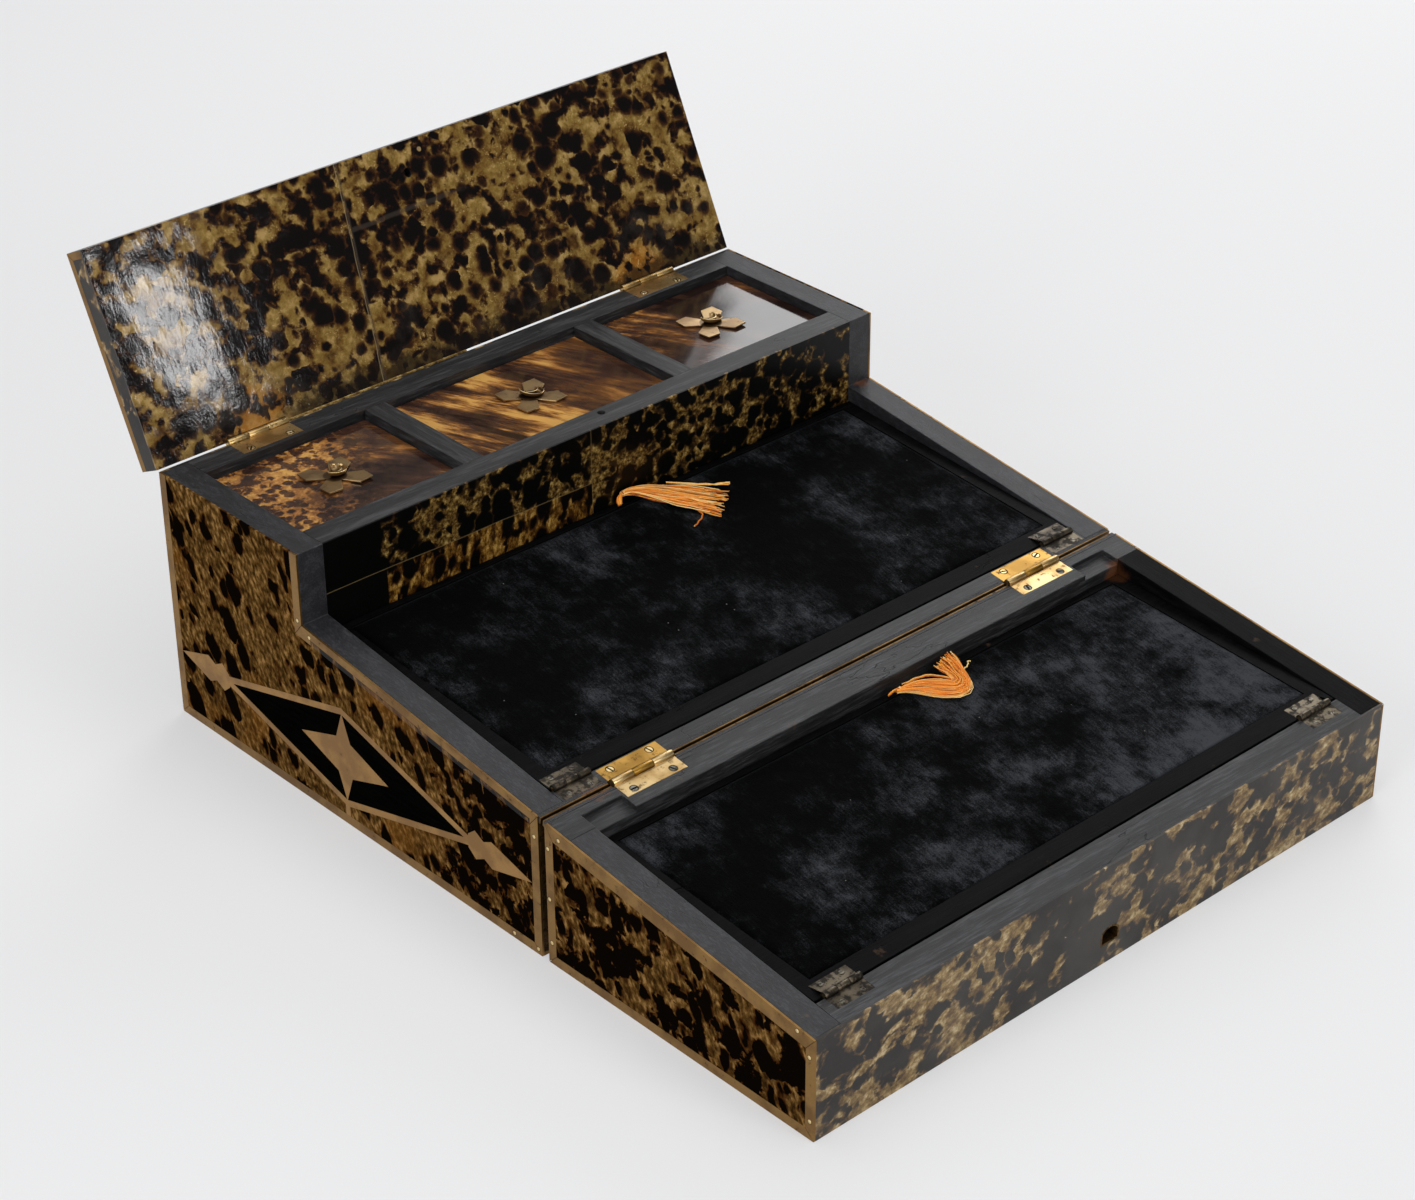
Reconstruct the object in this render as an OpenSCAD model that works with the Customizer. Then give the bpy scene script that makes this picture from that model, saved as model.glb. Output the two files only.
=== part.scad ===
// A portable writing slope with a tray block at the back, opened flat for writing.
// X runs across the box, Y from the front (minus) to the back (plus), Z up, in mm.
// The origin is the middle of the base's underside. The fold between base and lid lies
// just in front of the base, and the whole sloping surface passes through its axis.

/* [Box] */
// Width of the box
body_w = 400; // [370:1:430]
// Depth of the base, front face to back face
body_d = 300; // [290:1:320]
// Height of the base at the fold; the closed box is twice as high
front_h = 81; // [78:1:90]
// Depth of the tray block behind the slope
tray_d = 118; // [112:1:124]
// Rise of the writing surface between the fold and the tray block
slope_rise = 24; // [20:1:28]
// Gap between base and lid at the fold
fold_gap = 5; // [4.9:0.1:6]
// Clearance between faces that close on each other
seat_gap = 0.3; // [0.2:0.05:0.4]

/* [Walls] */
// Thickness of the base's side walls, veneer included
side_t = 17; // [15:0.5:19]
// Thickness of the tray block's front and back walls, veneer included
tray_wall_t = 17; // [15:0.5:18]
// Thickness of the base's front wall, veneer included
front_t = 10; // [10:0.5:12]
// Thickness of the base's bottom board
bottom_t = 7; // [6:0.5:9]
// Thickness of the lid's four walls, veneer included
lid_wall_t = 17; // [16:0.5:18]
// Thickness of the lid's outer board behind its veneer
lid_board_t = 6; // [5:0.5:8]
// Thickness of the veneer and of the brass strips let in beside it
skin_t = 1.2; // [1:0.1:1.5]
// Thickness of the partitions between the wells
divider_t = 13.5; // [11:0.5:15]
// Width of the middle well
middle_well_w = 133; // [120:1:145]

/* [Tray panel] */
// Thickness of the panel, veneers included
panel_t = 16; // [14:0.5:18]
// Angle by which the open panel leans back past upright
panel_lean = 25.5; // [15:0.5:30]
// Distance of the panel's hinge pin behind the back face
panel_pin_out = 1; // [0.8:0.1:1.5]
// Overhang of the closed panel behind the back face
panel_over = 0.6; // [0:0.1:1.1]
// Width of the brass strips on the panel's ends
panel_strip_w = 4.2; // [3:0.2:6]

/* [Inner lids] */
// Thickness of an inner lid
inner_lid_t = 4; // [3:0.5:5]
// Depth of an inner lid's face below the rim
inner_lid_sink = 5.5; // [5.3:0.1:7]
// Clearance round an inner lid
inner_lid_play = 0.6; // [0.4:0.1:1]
// Width and height of the ledges that carry flaps and inner lids
ledge = 5; // [4:0.5:7]
// Radius of a pull from its middle to a petal's point
petal_r = 20; // [16:0.5:24]
// Width of a petal at its shoulders
petal_w = 12.5; // [10:0.5:14]
// Width of a petal at its root
petal_root_w = 6; // [4:0.5:7]
// Height of a pull above its lid
pull_h = 5.1; // [4.5:0.1:5.2]
// Radius of the curled leaf in the middle of a pull
curl_r = 3.4; // [2.6:0.1:4]
// Angle by which the curled leaf goes round the stem
curl_round = 285; // [240:5:320]

/* [Writing flaps] */
// Thickness of a flap's board
flap_t = 8; // [7:0.5:9]
// Depth of a flap's free end below the slope
flap_sink = 8.5; // [8:0.5:10]
// Clearance round a flap
flap_play = 0.6; // [0.5:0.1:1]
// Thickness of the velvet
velvet_t = 1.4; // [1:0.1:2]
// Depth by which the velvet is let into its board
velvet_let_in = 0.7; // [0.4:0.1:0.9]
// Width of the bare border at a flap's sides
velvet_side = 8.5; // [6:0.5:12]
// Width of the bare border at a flap's hinged end
velvet_hinge_end = 12.5; // [12:0.5:16]
// Width of the bare border at a flap's free end
velvet_free_end = 4; // [2:0.5:8]

/* [Hinges] */
// Length of the large butt hinges
hinge_l = 38; // [32:1:44]
// Gap between a small hinge of the upper flap and the large hinge beside it
hinge_apart = 2.6; // [2:0.2:12]
// Reach of a main hinge leaf from its pin
hinge_reach = 12; // [11:0.5:12.4]
// Reach of the tray panel's hinge leaves from the pin
panel_hinge_reach = 15; // [12:0.5:16]
// Thickness of a large leaf
leaf_t = 1.3; // [1:0.1:1.6]
// Radius of a large hinge's barrel
barrel_r = 2.2; // [2:0.05:2.3]
// Length of the small flap hinges
flap_hinge_l = 23; // [20:1:26]
// Distance from the upper flap's edge to its hinge
upper_hinge_inset = 0.8; // [0.6:0.1:2]
// Distance from the lower flap's edge to its hinge
lower_hinge_inset = 5; // [3:0.5:8]
// Reach of a small leaf from its pin
flap_hinge_reach = 9.6; // [8.5:0.1:9.8]
// Thickness of a small leaf
flap_leaf_t = 1.1; // [0.9:0.1:1.3]
// Radius of a small hinge's barrel
flap_barrel_r = 1.9; // [1.7:0.1:2.1]
// Height of a small hinge's pin above the slope's surface
flap_pin_up = 0.45; // [0.3:0.05:0.6]
// Radius of every hinge pin
pin_r = 0.9; // [0.7:0.1:1]
// Clearance between turning hinge pieces
hinge_play = 0.3; // [0.25:0.05:0.35]

/* [Brass strips] */
// Width of the upright corner strips
corner_strip_w = 5.6; // [4:0.2:7]
// Width of the strips along the foot
foot_strip_w = 5.5; // [4:0.5:7]
// Width of the strips along the sloping edge
slope_strip_w = 7.4; // [5:0.2:9]
// Width of the strips on the faces in the fold
fold_strip_w = 4; // [3:0.5:6]
// Kerf at each mitre of the strips
mitre_kerf = 0.2; // [0.1:0.05:0.4]

/* [Side inlay] */
// Height of the inlay's middle above the foot
inlay_z = 40.5; // [38:0.5:43]
// Distance of the inlay's middle behind the middle of the base
inlay_y = 3; // [0:0.5:6]
// Half length of the rhombus frame
frame_half_l = 110; // [95:1:114]
// Half height of the rhombus frame
frame_half_h = 29.5; // [26:0.5:31]
// Width of the frame's strips
frame_strip_w = 3.8; // [2.5:0.1:5]
// Half length of the star
star_half_l = 36; // [28:1:44]
// Distance along the inlay of the star's inner corners
star_waist_l = 5.8; // [4:0.2:8]
// Height of the star's inner corners above its middle
star_waist_h = 10.5; // [8:0.5:12]
// Overlap of a finial with the frame's end
finial_lap = 11; // [9:0.5:14]
// Half width of a finial at its claws
finial_claw = 8.5; // [6:0.5:10]
// Half width of a finial at its neck
finial_neck = 5; // [3:0.5:6]

/* [Catch and pin] */
// Width of the catch pocket in the lid's front face
catch_w = 11; // [8:0.5:14]
// Height of the catch pocket
catch_h = 8; // [6:0.5:10]
// Distance of the catch pocket's middle to the left of the middle
catch_x = 4; // [0:0.5:10]
// Thickness of the brass that lines the catch pocket
catch_lining = 1; // [0.6:0.1:1.5]
// Diameter of the peg hole in the tray's rim
rim_hole_d = 4.5; // [3:0.5:6]
// Diameter of the hole in the panel's inner face
panel_hole_d = 5.5; // [3:0.5:7]

/* [Hidden] */
$fn = 48;
far = 1000;

ebony = "#3b3a3c";
shell = "#7b5a2c";
brass = "#b08a52";
old_brass = "#8f8468";
velvet = "#17181c";
silk = "#d9762a";

// The fold's axis and the sloping plane through it
fold_y = -body_d / 2 - fold_gap / 2;
fold_z = front_h;
riser_y = body_d / 2 - tray_d;
slope_a = atan(slope_rise / (body_d - tray_d));
slope_low = seat_gap / 2;
function slope_z(y) = fold_z + (y - fold_y) * tan(slope_a) - slope_low / cos(slope_a);

// Levels and faces of base and lid
rim_h = 2 * front_h - panel_t - seat_gap;
front_y = -body_d / 2;
back_y = body_d / 2;
half_w = body_w / 2;
core_w = body_w - 2 * skin_t;
inner_w = body_w - 2 * side_t;
lid_inner_w = body_w - 2 * lid_wall_t;
lid_rear_y = fold_y - fold_gap / 2;
lid_front_y = 2 * fold_y - riser_y + seat_gap;
well_y0 = riser_y + tray_wall_t;
well_y1 = back_y - tray_wall_t;
side_well_w = (inner_w - middle_well_w - 2 * divider_t) / 2;

// The tray panel's hinge axis
panel_pin_y = back_y + panel_pin_out;
panel_pin_z = rim_h + seat_gap / 2;

// Flap axes, measured along the slope from the fold's axis, and the flaps' tilts
front_wall_in = (front_t + fold_gap / 2) / cos(slope_a);
lid_front_wall_in = (lid_front_y + lid_wall_t - fold_y) / cos(slope_a);
flap_pin_out = 1;
upper_pin_s = front_wall_in + flap_pin_out;
lower_pin_s = lid_front_wall_in + flap_pin_out;
flap_pin_n = flap_pin_up - slope_low;
upper_pin_y = fold_y + upper_pin_s * cos(slope_a) - flap_pin_n * sin(slope_a);
lower_pin_y = fold_y + lower_pin_s * cos(slope_a) - flap_pin_n * sin(slope_a);
lid_rear_wall_in = lid_rear_y - lid_wall_t;
upper_run = riser_y - upper_pin_y;
lower_run = lid_rear_wall_in - lower_pin_y;
upper_tilt = slope_a - atan(flap_sink / upper_run);
lower_tilt = slope_a - atan(flap_sink / lower_run);
flap_edge = 0.4;
flap_face = -flap_pin_up;
flap_foot = flap_face - flap_t;
function flap_len(run, tilt) = (run - flap_play + flap_foot * sin(tilt)) / cos(tilt);
upper_len = flap_len(upper_run, upper_tilt);
lower_len = flap_len(lower_run, lower_tilt);
upper_flap_w = inner_w - 2 * flap_play;
lower_flap_w = lid_inner_w - 2 * flap_play;
upper_hinge_x = (upper_flap_w - flap_hinge_l) / 2 - upper_hinge_inset;
lower_hinge_x = (lower_flap_w - flap_hinge_l) / 2 - lower_hinge_inset;
hinge_x = upper_hinge_x - (flap_hinge_l + hinge_l) / 2 - hinge_apart;

// Depth and width of the mortises in the lid that clear the upper flap's hinges
mortise_n = flap_pin_up + flap_barrel_r + 0.8;
mortise_s = 4.5;
mortise_w = flap_hinge_l + 2;

// Clearance cylinder round a barrel
barrel_room = barrel_r + hinge_play;
flap_barrel_room = flap_barrel_r + hinge_play;

// Places of the rim's peg hole, the panel's hole and its pin
rim_hole_at = [9.6, 5];
rim_hole_deep = 9;
panel_hole_at = [4.1, 102];
panel_hole_deep = 7;
panel_pin_at = [15.5, 112];
panel_pin_r = 1.4;
panel_pin_l = 6;

// Places on a hinge leaf
screw_from_end = 6.5;
flap_screw_from_end = 5;
screw_r = 1;
screw_head_r = 2;
flap_screw_r = 0.7;
flap_screw_head_r = 1.5;
knuckle_gap = 0.3;

// Frames in which the pieces are drawn
module in_yz(x0, x1) {
  translate([x0, 0, 0]) rotate([90, 0, 90]) linear_extrude(x1 - x0) children();
}
module in_xz(y0, y1) {
  translate([0, y1, 0]) rotate([90, 0, 0]) linear_extrude(y1 - y0) children();
}
module both_sides() {
  children();
  mirror([1, 0, 0]) children();
}
module on_slope() {
  translate([0, fold_y, fold_z]) rotate([slope_a, 0, 0]) children();
}
module on_upper_pin() {
  on_slope() translate([0, upper_pin_s, flap_pin_n]) children();
}
module on_lower_pin() {
  on_slope() translate([0, lower_pin_s, flap_pin_n]) children();
}
module on_upper_flap() {
  on_upper_pin() rotate([upper_tilt - slope_a, 0, 0]) children();
}
module on_lower_flap() {
  on_lower_pin() rotate([lower_tilt - slope_a, 0, 0]) children();
}
module on_panel_pin() {
  translate([0, panel_pin_y, panel_pin_z]) children();
}
module on_panel() {
  on_panel_pin() rotate([-90 - panel_lean, 0, 0]) children();
}
module rod(len, r) {
  translate([-len / 2, 0, 0]) rotate([0, 90, 0]) cylinder(h = len, r = r);
}
module block(x0, x1, y0, y1, z0, z1) {
  translate([x0, y0, z0]) cube([x1 - x0, y1 - y0, z1 - z0]);
}

// Outline of one side of the base, drawn in Y and Z, and of one side of the lid
module base_side(inset, foot) {
  polygon([
    [front_y + inset, foot], [back_y - inset, foot], [back_y - inset, rim_h],
    [riser_y, rim_h], [riser_y, slope_z(riser_y)],
    [front_y + inset, slope_z(front_y + inset)]
  ]);
}
module lid_side(y0, y1, foot) {
  polygon([[y0, foot], [y1, foot], [y1, slope_z(y1)], [y0, slope_z(y0)]]);
}

// What the veneer shows inside the brass strips of a side of the base
module base_side_field() {
  run = slope_strip_w / cos(slope_a);
  polygon([
    [front_y + corner_strip_w, foot_strip_w], [back_y - corner_strip_w, foot_strip_w],
    [back_y - corner_strip_w, rim_h + 1], [riser_y + corner_strip_w, rim_h + 1],
    [riser_y + corner_strip_w, slope_z(riser_y + corner_strip_w) - run],
    [front_y + corner_strip_w, slope_z(front_y + corner_strip_w) - run]
  ]);
}
module lid_side_field() {
  run = slope_strip_w / cos(slope_a);
  y0 = lid_front_y + corner_strip_w;
  y1 = lid_rear_y - corner_strip_w;
  polygon([[y0, foot_strip_w], [y1, foot_strip_w], [y1, slope_z(y1) - run],
    [y0, slope_z(y0) - run]]);
}

// A saw cut along a mitre, from an outer corner to an inner one
module kerf(a, b) {
  d = b - a;
  translate(a) rotate(atan2(d[1], d[0])) translate([-1, -mitre_kerf / 2])
    square([norm(d) + 1.5, mitre_kerf]);
}

// The side inlay, drawn in Y and Z round its own middle
module rhombus(l, h) {
  polygon([[-l, 0], [0, h], [l, 0], [0, -h]]);
}
frame_in = frame_strip_w / sin(atan(frame_half_h / frame_half_l));
frame_in_l = frame_half_l - frame_in;
frame_in_h = frame_half_h - frame_strip_w / cos(atan(frame_half_h / frame_half_l));
module star() {
  for (k = [-1, 1])
    polygon([
      [0, k * (frame_in_h + 0.8)], [star_waist_l, k * star_waist_h], [star_half_l, 0],
      [-star_half_l, 0], [-star_waist_l, k * star_waist_h]
    ]);
}
module finial(tip) {
  start = frame_half_l - finial_lap;
  claw = start + finial_lap / 2;
  neck = start + finial_lap + 1;
  bulge = neck + finial_neck + 1;
  polygon([
    [start, finial_neck - 1], [claw, finial_claw], [neck, finial_neck],
    [bulge, finial_claw - 0.5], [tip, 0], [bulge, 0.5 - finial_claw],
    [neck, -finial_neck], [claw, -finial_claw], [start, 1 - finial_neck]
  ]);
}
module inlay_brass() {
  translate([inlay_y, inlay_z]) {
    difference() {
      rhombus(frame_half_l, frame_half_h);
      rhombus(frame_in_l, frame_in_h);
    }
    star();
    finial(back_y - corner_strip_w - inlay_y);
    mirror([1, 0]) finial(back_y - corner_strip_w + inlay_y);
    translate([-frame_strip_w / 2, foot_strip_w - inlay_z])
      square([frame_strip_w, inlay_z - frame_in_h - foot_strip_w]);
  }
}
module inlay_field() {
  translate([inlay_y, inlay_z]) difference() {
    rhombus(frame_in_l, frame_in_h);
    star();
    for (k = [-1, 1]) scale([k, 1]) finial(frame_half_l + 2 * finial_claw);
  }
}

// A leaf of a butt hinge: pin along X, leaf towards +Y, its upper face at height top.
// The pin's own leaf has one middle knuckle or two outer ones.
module hinge_leaf(len, reach, thick, top, r, bore, middle, from_end, hole, head) {
  third = len / 3;
  room = r + hinge_play;
  difference() {
    union() {
      difference() {
        block(-len / 2, len / 2, 0, reach, top - thick, top);
        if (middle) both_sides() translate([third + 1, 0, 0]) rod(third + 2, room);
        else rod(third, room);
      }
      if (middle) rod(third - knuckle_gap, r);
      else both_sides() translate([third + knuckle_gap / 4, 0, 0])
        rod(third - knuckle_gap / 2, r);
    }
    rod(len + 2, bore);
    for (x = [from_end - len / 2, len / 2 - from_end])
      translate([x, reach - head - 1.2, top - thick]) screw_hole(thick, hole, head);
  }
}
module screw_hole(thick, hole, head) {
  if (hole > 0) {
    translate([0, 0, -0.5]) cylinder(h = thick + 1, r = hole);
    translate([0, 0, thick - head + hole]) cylinder(h = head - hole, r1 = hole, r2 = head);
    translate([0, 0, thick]) cylinder(h = 1, r = head);
  }
}
module main_leaf(middle, bore) {
  hinge_leaf(hinge_l, hinge_reach, leaf_t, -slope_low, barrel_r, bore, middle,
    screw_from_end, screw_r, screw_head_r);
}
module flap_leaf(middle, bore) {
  hinge_leaf(flap_hinge_l, flap_hinge_reach, flap_leaf_t, -flap_pin_up, flap_barrel_r, bore,
    middle, flap_screw_from_end, flap_screw_r, flap_screw_head_r);
}

// Pockets that let the hinges in
module main_hinge_pocket() {
  on_slope() both_sides() translate([hinge_x, 0, 0]) {
    block(-hinge_l / 2, hinge_l / 2, -hinge_reach, hinge_reach, -slope_low - leaf_t, 3);
    rod(hinge_l, barrel_room);
  }
}
module flap_hinge_pocket(x, side) {
  both_sides() translate([x, 0, 0]) {
    scale([1, side, 1])
      block(-flap_hinge_l / 2, flap_hinge_l / 2, 0, flap_hinge_reach,
        -flap_pin_up - flap_leaf_t, 3);
    rod(flap_hinge_l + knuckle_gap, flap_barrel_room);
  }
}
module panel_hinge_pocket() {
  both_sides() translate([hinge_x, 0, 0]) {
    block(-hinge_l / 2, hinge_l / 2, -panel_hinge_reach, 0, -seat_gap / 2 - leaf_t, 3);
    rod(hinge_l + knuckle_gap, barrel_room);
  }
}

// Base, carcase
module bottom_board() {
  color(ebony)
    block(-core_w / 2, core_w / 2, front_y + skin_t, back_y - skin_t, 0, bottom_t);
}
module side_board() {
  color(ebony) in_yz(inner_w / 2, core_w / 2) base_side(skin_t, bottom_t);
}
module left_side_board() {
  mirror([1, 0, 0]) side_board();
}
module right_side_board() {
  side_board();
}
module back_board() {
  color(ebony) difference() {
    block(-inner_w / 2, inner_w / 2, well_y1, back_y - skin_t, bottom_t, rim_h);
    on_panel_pin() panel_hinge_pocket();
  }
}
module front_board() {
  y0 = front_y + skin_t;
  y1 = front_y + front_t;
  color(ebony) difference() {
    in_yz(-inner_w / 2, inner_w / 2)
      polygon([[y0, bottom_t], [y1, bottom_t], [y1, slope_z(y1)], [y0, slope_z(y0)]]);
    main_hinge_pocket();
    on_upper_pin() flap_hinge_pocket(upper_hinge_x, -1);
  }
}
module riser_board() {
  color(ebony) difference() {
    block(-inner_w / 2, inner_w / 2, riser_y + skin_t, well_y0, bottom_t, rim_h);
    translate([rim_hole_at[0], well_y0 - rim_hole_at[1], rim_h - rim_hole_deep])
      cylinder(h = rim_hole_deep + 1, d = rim_hole_d);
  }
}
module divider() {
  color(ebony)
    block(middle_well_w / 2, middle_well_w / 2 + divider_t, well_y0, well_y1, bottom_t, rim_h);
}
module left_divider() {
  mirror([1, 0, 0]) divider();
}
module right_divider() {
  divider();
}

// The three wells, as pairs of their left and right walls
wells = [
  [-inner_w / 2, -middle_well_w / 2 - divider_t],
  [-middle_well_w / 2, middle_well_w / 2],
  [middle_well_w / 2 + divider_t, inner_w / 2]
];
inner_lid_top = rim_h - inner_lid_sink;
inner_lid_foot = inner_lid_top - inner_lid_t;
module inner_lid_ledges() {
  top = inner_lid_foot - seat_gap;
  color(ebony) for (w = wells) {
    block(w[0], w[1], well_y0, well_y0 + ledge, top - ledge, top);
    block(w[0], w[1], well_y1 - ledge, well_y1, top - ledge, top);
  }
}
module flap_ledge(half, len) {
  both_sides() block(half - ledge, half, 12, len - 1, flap_foot - seat_gap - ledge,
    flap_foot - seat_gap);
}
module upper_flap_ledges() {
  color(ebony) on_upper_flap() flap_ledge(inner_w / 2, upper_len);
}

// Base, veneers and brass
module side_veneer() {
  color(shell) in_yz(half_w - skin_t, half_w) difference() {
    intersection() {
      base_side_field();
      base_side(0, 0);
    }
    inlay_brass();
    inlay_field();
  }
}
module left_side_veneer() {
  mirror([1, 0, 0]) side_veneer();
}
module right_side_veneer() {
  side_veneer();
}
module back_veneer() {
  color(shell) difference() {
    block(-core_w / 2, core_w / 2, back_y - skin_t, back_y, 0, rim_h);
    on_panel_pin() panel_hinge_pocket();
  }
}
// A face in the fold between y0 and y1: its outline in X and Z, strips and field
module fold_face(y0, y1) {
  in_yz(-core_w / 2, core_w / 2) lid_side(y0, y1, 0);
}
module fold_field(y0, y1) {
  w = core_w / 2 - fold_strip_w;
  in_yz(-w, w)
    polygon([[y0 - 1, -1], [y1 + 1, -1], [y1 + 1, slope_z(front_y) - fold_strip_w],
      [y0 - 1, slope_z(front_y) - fold_strip_w]]);
}
module front_veneer() {
  color(shell) intersection() {
    fold_face(front_y, front_y + skin_t);
    fold_field(front_y, front_y + skin_t);
  }
}
module front_edge_strips() {
  color(brass) difference() {
    fold_face(front_y, front_y + skin_t);
    fold_field(front_y, front_y + skin_t);
    main_hinge_pocket();
  }
}
module riser_veneer() {
  color(shell)
    block(-inner_w / 2, inner_w / 2, riser_y, riser_y + skin_t, bottom_t, rim_h);
}
module side_edge_strips() {
  run = slope_strip_w / cos(slope_a);
  y0 = front_y + corner_strip_w;
  y1 = riser_y + corner_strip_w;
  y2 = back_y - corner_strip_w;
  color(brass) both_sides() in_yz(half_w - skin_t, half_w) difference() {
    base_side(0, 0);
    base_side_field();
    kerf([front_y, 0], [y0, foot_strip_w]);
    kerf([back_y, 0], [y2, foot_strip_w]);
    kerf([front_y, slope_z(front_y)], [y0, slope_z(y0) - run]);
    kerf([riser_y, slope_z(riser_y)], [y1, slope_z(y1) - run]);
  }
}
module star_inlays() {
  color(brass) both_sides() in_yz(half_w - skin_t, half_w) inlay_brass();
}
module star_fields() {
  color(ebony) both_sides() in_yz(half_w - skin_t, half_w) inlay_field();
}

// Base, hinge pieces
module main_hinge_base_leaves() {
  color(brass) on_slope() both_sides() translate([hinge_x, 0, 0]) main_leaf(true, pin_r);
}
module panel_leaf(top, middle, bore, hole) {
  mirror([0, 1, 0])
    hinge_leaf(hinge_l, panel_hinge_reach, leaf_t, top, barrel_r, bore, middle,
      screw_from_end, hole, screw_head_r);
}
module panel_hinge_base_leaves() {
  color(brass) on_panel_pin() both_sides() translate([hinge_x, 0, 0])
    panel_leaf(-seat_gap / 2, true, pin_r, screw_r);
}
module upper_flap_hinge_rail_leaves() {
  color(old_brass) on_upper_pin() both_sides() translate([upper_hinge_x, 0, 0])
    mirror([0, 1, 0]) flap_leaf(true, pin_r);
}
module base_hinge_pins() {
  color(brass) {
    on_slope() both_sides() translate([hinge_x, 0, 0]) rod(hinge_l, pin_r);
    on_panel_pin() both_sides() translate([hinge_x, 0, 0]) rod(hinge_l, pin_r);
    on_upper_pin() both_sides() translate([upper_hinge_x, 0, 0]) rod(flap_hinge_l, pin_r);
  }
}

// Lid, carcase
lid_core_front = lid_front_y + skin_t;
lid_core_rear = lid_rear_y - skin_t;
lid_floor = skin_t + lid_board_t;
module lid_outer_board() {
  color(ebony)
    block(-core_w / 2, core_w / 2, lid_core_front, lid_core_rear, skin_t, lid_floor);
}
module lid_outer_veneer() {
  color(shell)
    block(-core_w / 2, core_w / 2, lid_core_front, lid_core_rear, 0, skin_t);
}
module lid_side_rail() {
  color(ebony) in_yz(lid_inner_w / 2, core_w / 2)
    lid_side(lid_core_front, lid_rear_wall_in, lid_floor);
}
module lid_left_rail() {
  mirror([1, 0, 0]) lid_side_rail();
}
module lid_right_rail() {
  lid_side_rail();
}
module lid_rear_rail() {
  color(ebony) difference() {
    in_yz(-core_w / 2, core_w / 2) lid_side(lid_rear_wall_in, lid_core_rear, lid_floor);
    main_hinge_pocket();
    on_slope() both_sides() translate([upper_hinge_x, -upper_pin_s, 0])
      block(-mortise_w / 2, mortise_w / 2, -far / 10, mortise_s, -mortise_n, 5);
  }
}
module lid_front_rail() {
  y1 = lid_front_y + lid_wall_t;
  color(ebony) difference() {
    in_yz(-lid_inner_w / 2, lid_inner_w / 2) lid_side(lid_core_front, y1, lid_floor);
    on_lower_pin() flap_hinge_pocket(lower_hinge_x, -1);
    catch_pocket(catch_w / 2 + catch_lining);
  }
}
module lid_flap_ledges() {
  color(ebony) on_lower_flap() flap_ledge(lid_inner_w / 2, lower_len);
}

// The catch pocket: flat foot with a lip, arched head
catch_z = 15.7;
catch_deep = 9;
module catch_pocket(half) {
  grow = half - catch_w / 2;
  in_xz(lid_front_y - 1, lid_front_y + catch_deep + grow) translate([-catch_x, catch_z])
    catch_outline(half, catch_h / 2 + grow);
}
module catch_outline(half, h) {
  intersection() {
    translate([-half, -h]) square([2 * half, 2 * h]);
    translate([0, h - 1.25 * half]) circle(r = 1.25 * half);
  }
}
module lid_catch_plate() {
  color(brass) difference() {
    in_xz(lid_front_y, lid_front_y + catch_deep + catch_lining) translate([-catch_x, catch_z])
      catch_outline(catch_w / 2 + catch_lining, catch_h / 2 + catch_lining);
    catch_pocket(catch_w / 2);
  }
}

// Lid, veneers and brass
module lid_side_veneers() {
  color(shell) both_sides() in_yz(half_w - skin_t, half_w) lid_side_field();
}
module lid_front_veneer() {
  color(shell) difference() {
    in_yz(-core_w / 2, core_w / 2) lid_side(lid_front_y, lid_core_front, 0);
    catch_pocket(catch_w / 2 + catch_lining);
  }
}
module lid_rear_veneer() {
  color(shell) intersection() {
    fold_face(lid_core_rear, lid_rear_y);
    fold_field(lid_core_rear, lid_rear_y);
  }
}
module lid_edge_strips() {
  run = slope_strip_w / cos(slope_a);
  y0 = lid_front_y + corner_strip_w;
  y1 = lid_rear_y - corner_strip_w;
  color(brass) {
    both_sides() in_yz(half_w - skin_t, half_w) difference() {
      lid_side(lid_front_y, lid_rear_y, 0);
      lid_side_field();
      kerf([lid_front_y, 0], [y0, foot_strip_w]);
      kerf([lid_rear_y, 0], [y1, foot_strip_w]);
      kerf([lid_front_y, slope_z(lid_front_y)], [y0, slope_z(y0) - run]);
      kerf([lid_rear_y, slope_z(lid_rear_y)], [y1, slope_z(y1) - run]);
    }
    difference() {
      fold_face(lid_core_rear, lid_rear_y);
      fold_field(lid_core_rear, lid_rear_y);
      main_hinge_pocket();
    }
  }
}
module main_hinge_lid_leaves() {
  color(brass) on_slope() both_sides() translate([hinge_x, 0, 0])
    mirror([0, 1, 0]) main_leaf(false, pin_r + hinge_play / 2);
}
module lower_flap_hinge_rail_leaves() {
  color(old_brass) on_lower_pin() both_sides() translate([lower_hinge_x, 0, 0])
    mirror([0, 1, 0]) flap_leaf(true, pin_r);
}
module lid_hinge_pins() {
  color(brass) on_lower_pin() both_sides() translate([lower_hinge_x, 0, 0])
    rod(flap_hinge_l, pin_r);
}

// Writing flaps
module flap_board(w, len, hinge_at) {
  color(ebony) difference() {
    block(-w / 2, w / 2, flap_edge, len, flap_foot, flap_face);
    flap_hinge_pocket(hinge_at, 1);
    velvet_bed(w, len, flap_face - velvet_let_in, flap_face + 1);
  }
}
module velvet_bed(w, len, z0, z1) {
  half = w / 2 - velvet_side;
  block(-half, half, velvet_hinge_end, len - velvet_free_end, z0, z1);
}
module flap_velvet(w, len) {
  z0 = flap_face - velvet_let_in;
  color(velvet) velvet_bed(w, len, z0, z0 + velvet_t);
}
module upper_flap_board() {
  on_upper_flap() flap_board(upper_flap_w, upper_len, upper_hinge_x);
}
module upper_flap_velvet() {
  on_upper_flap() flap_velvet(upper_flap_w, upper_len);
}
module upper_flap_hinge_leaves() {
  color(old_brass) on_upper_flap() both_sides() translate([upper_hinge_x, 0, 0])
    flap_leaf(false, pin_r + hinge_play / 2);
}
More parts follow.
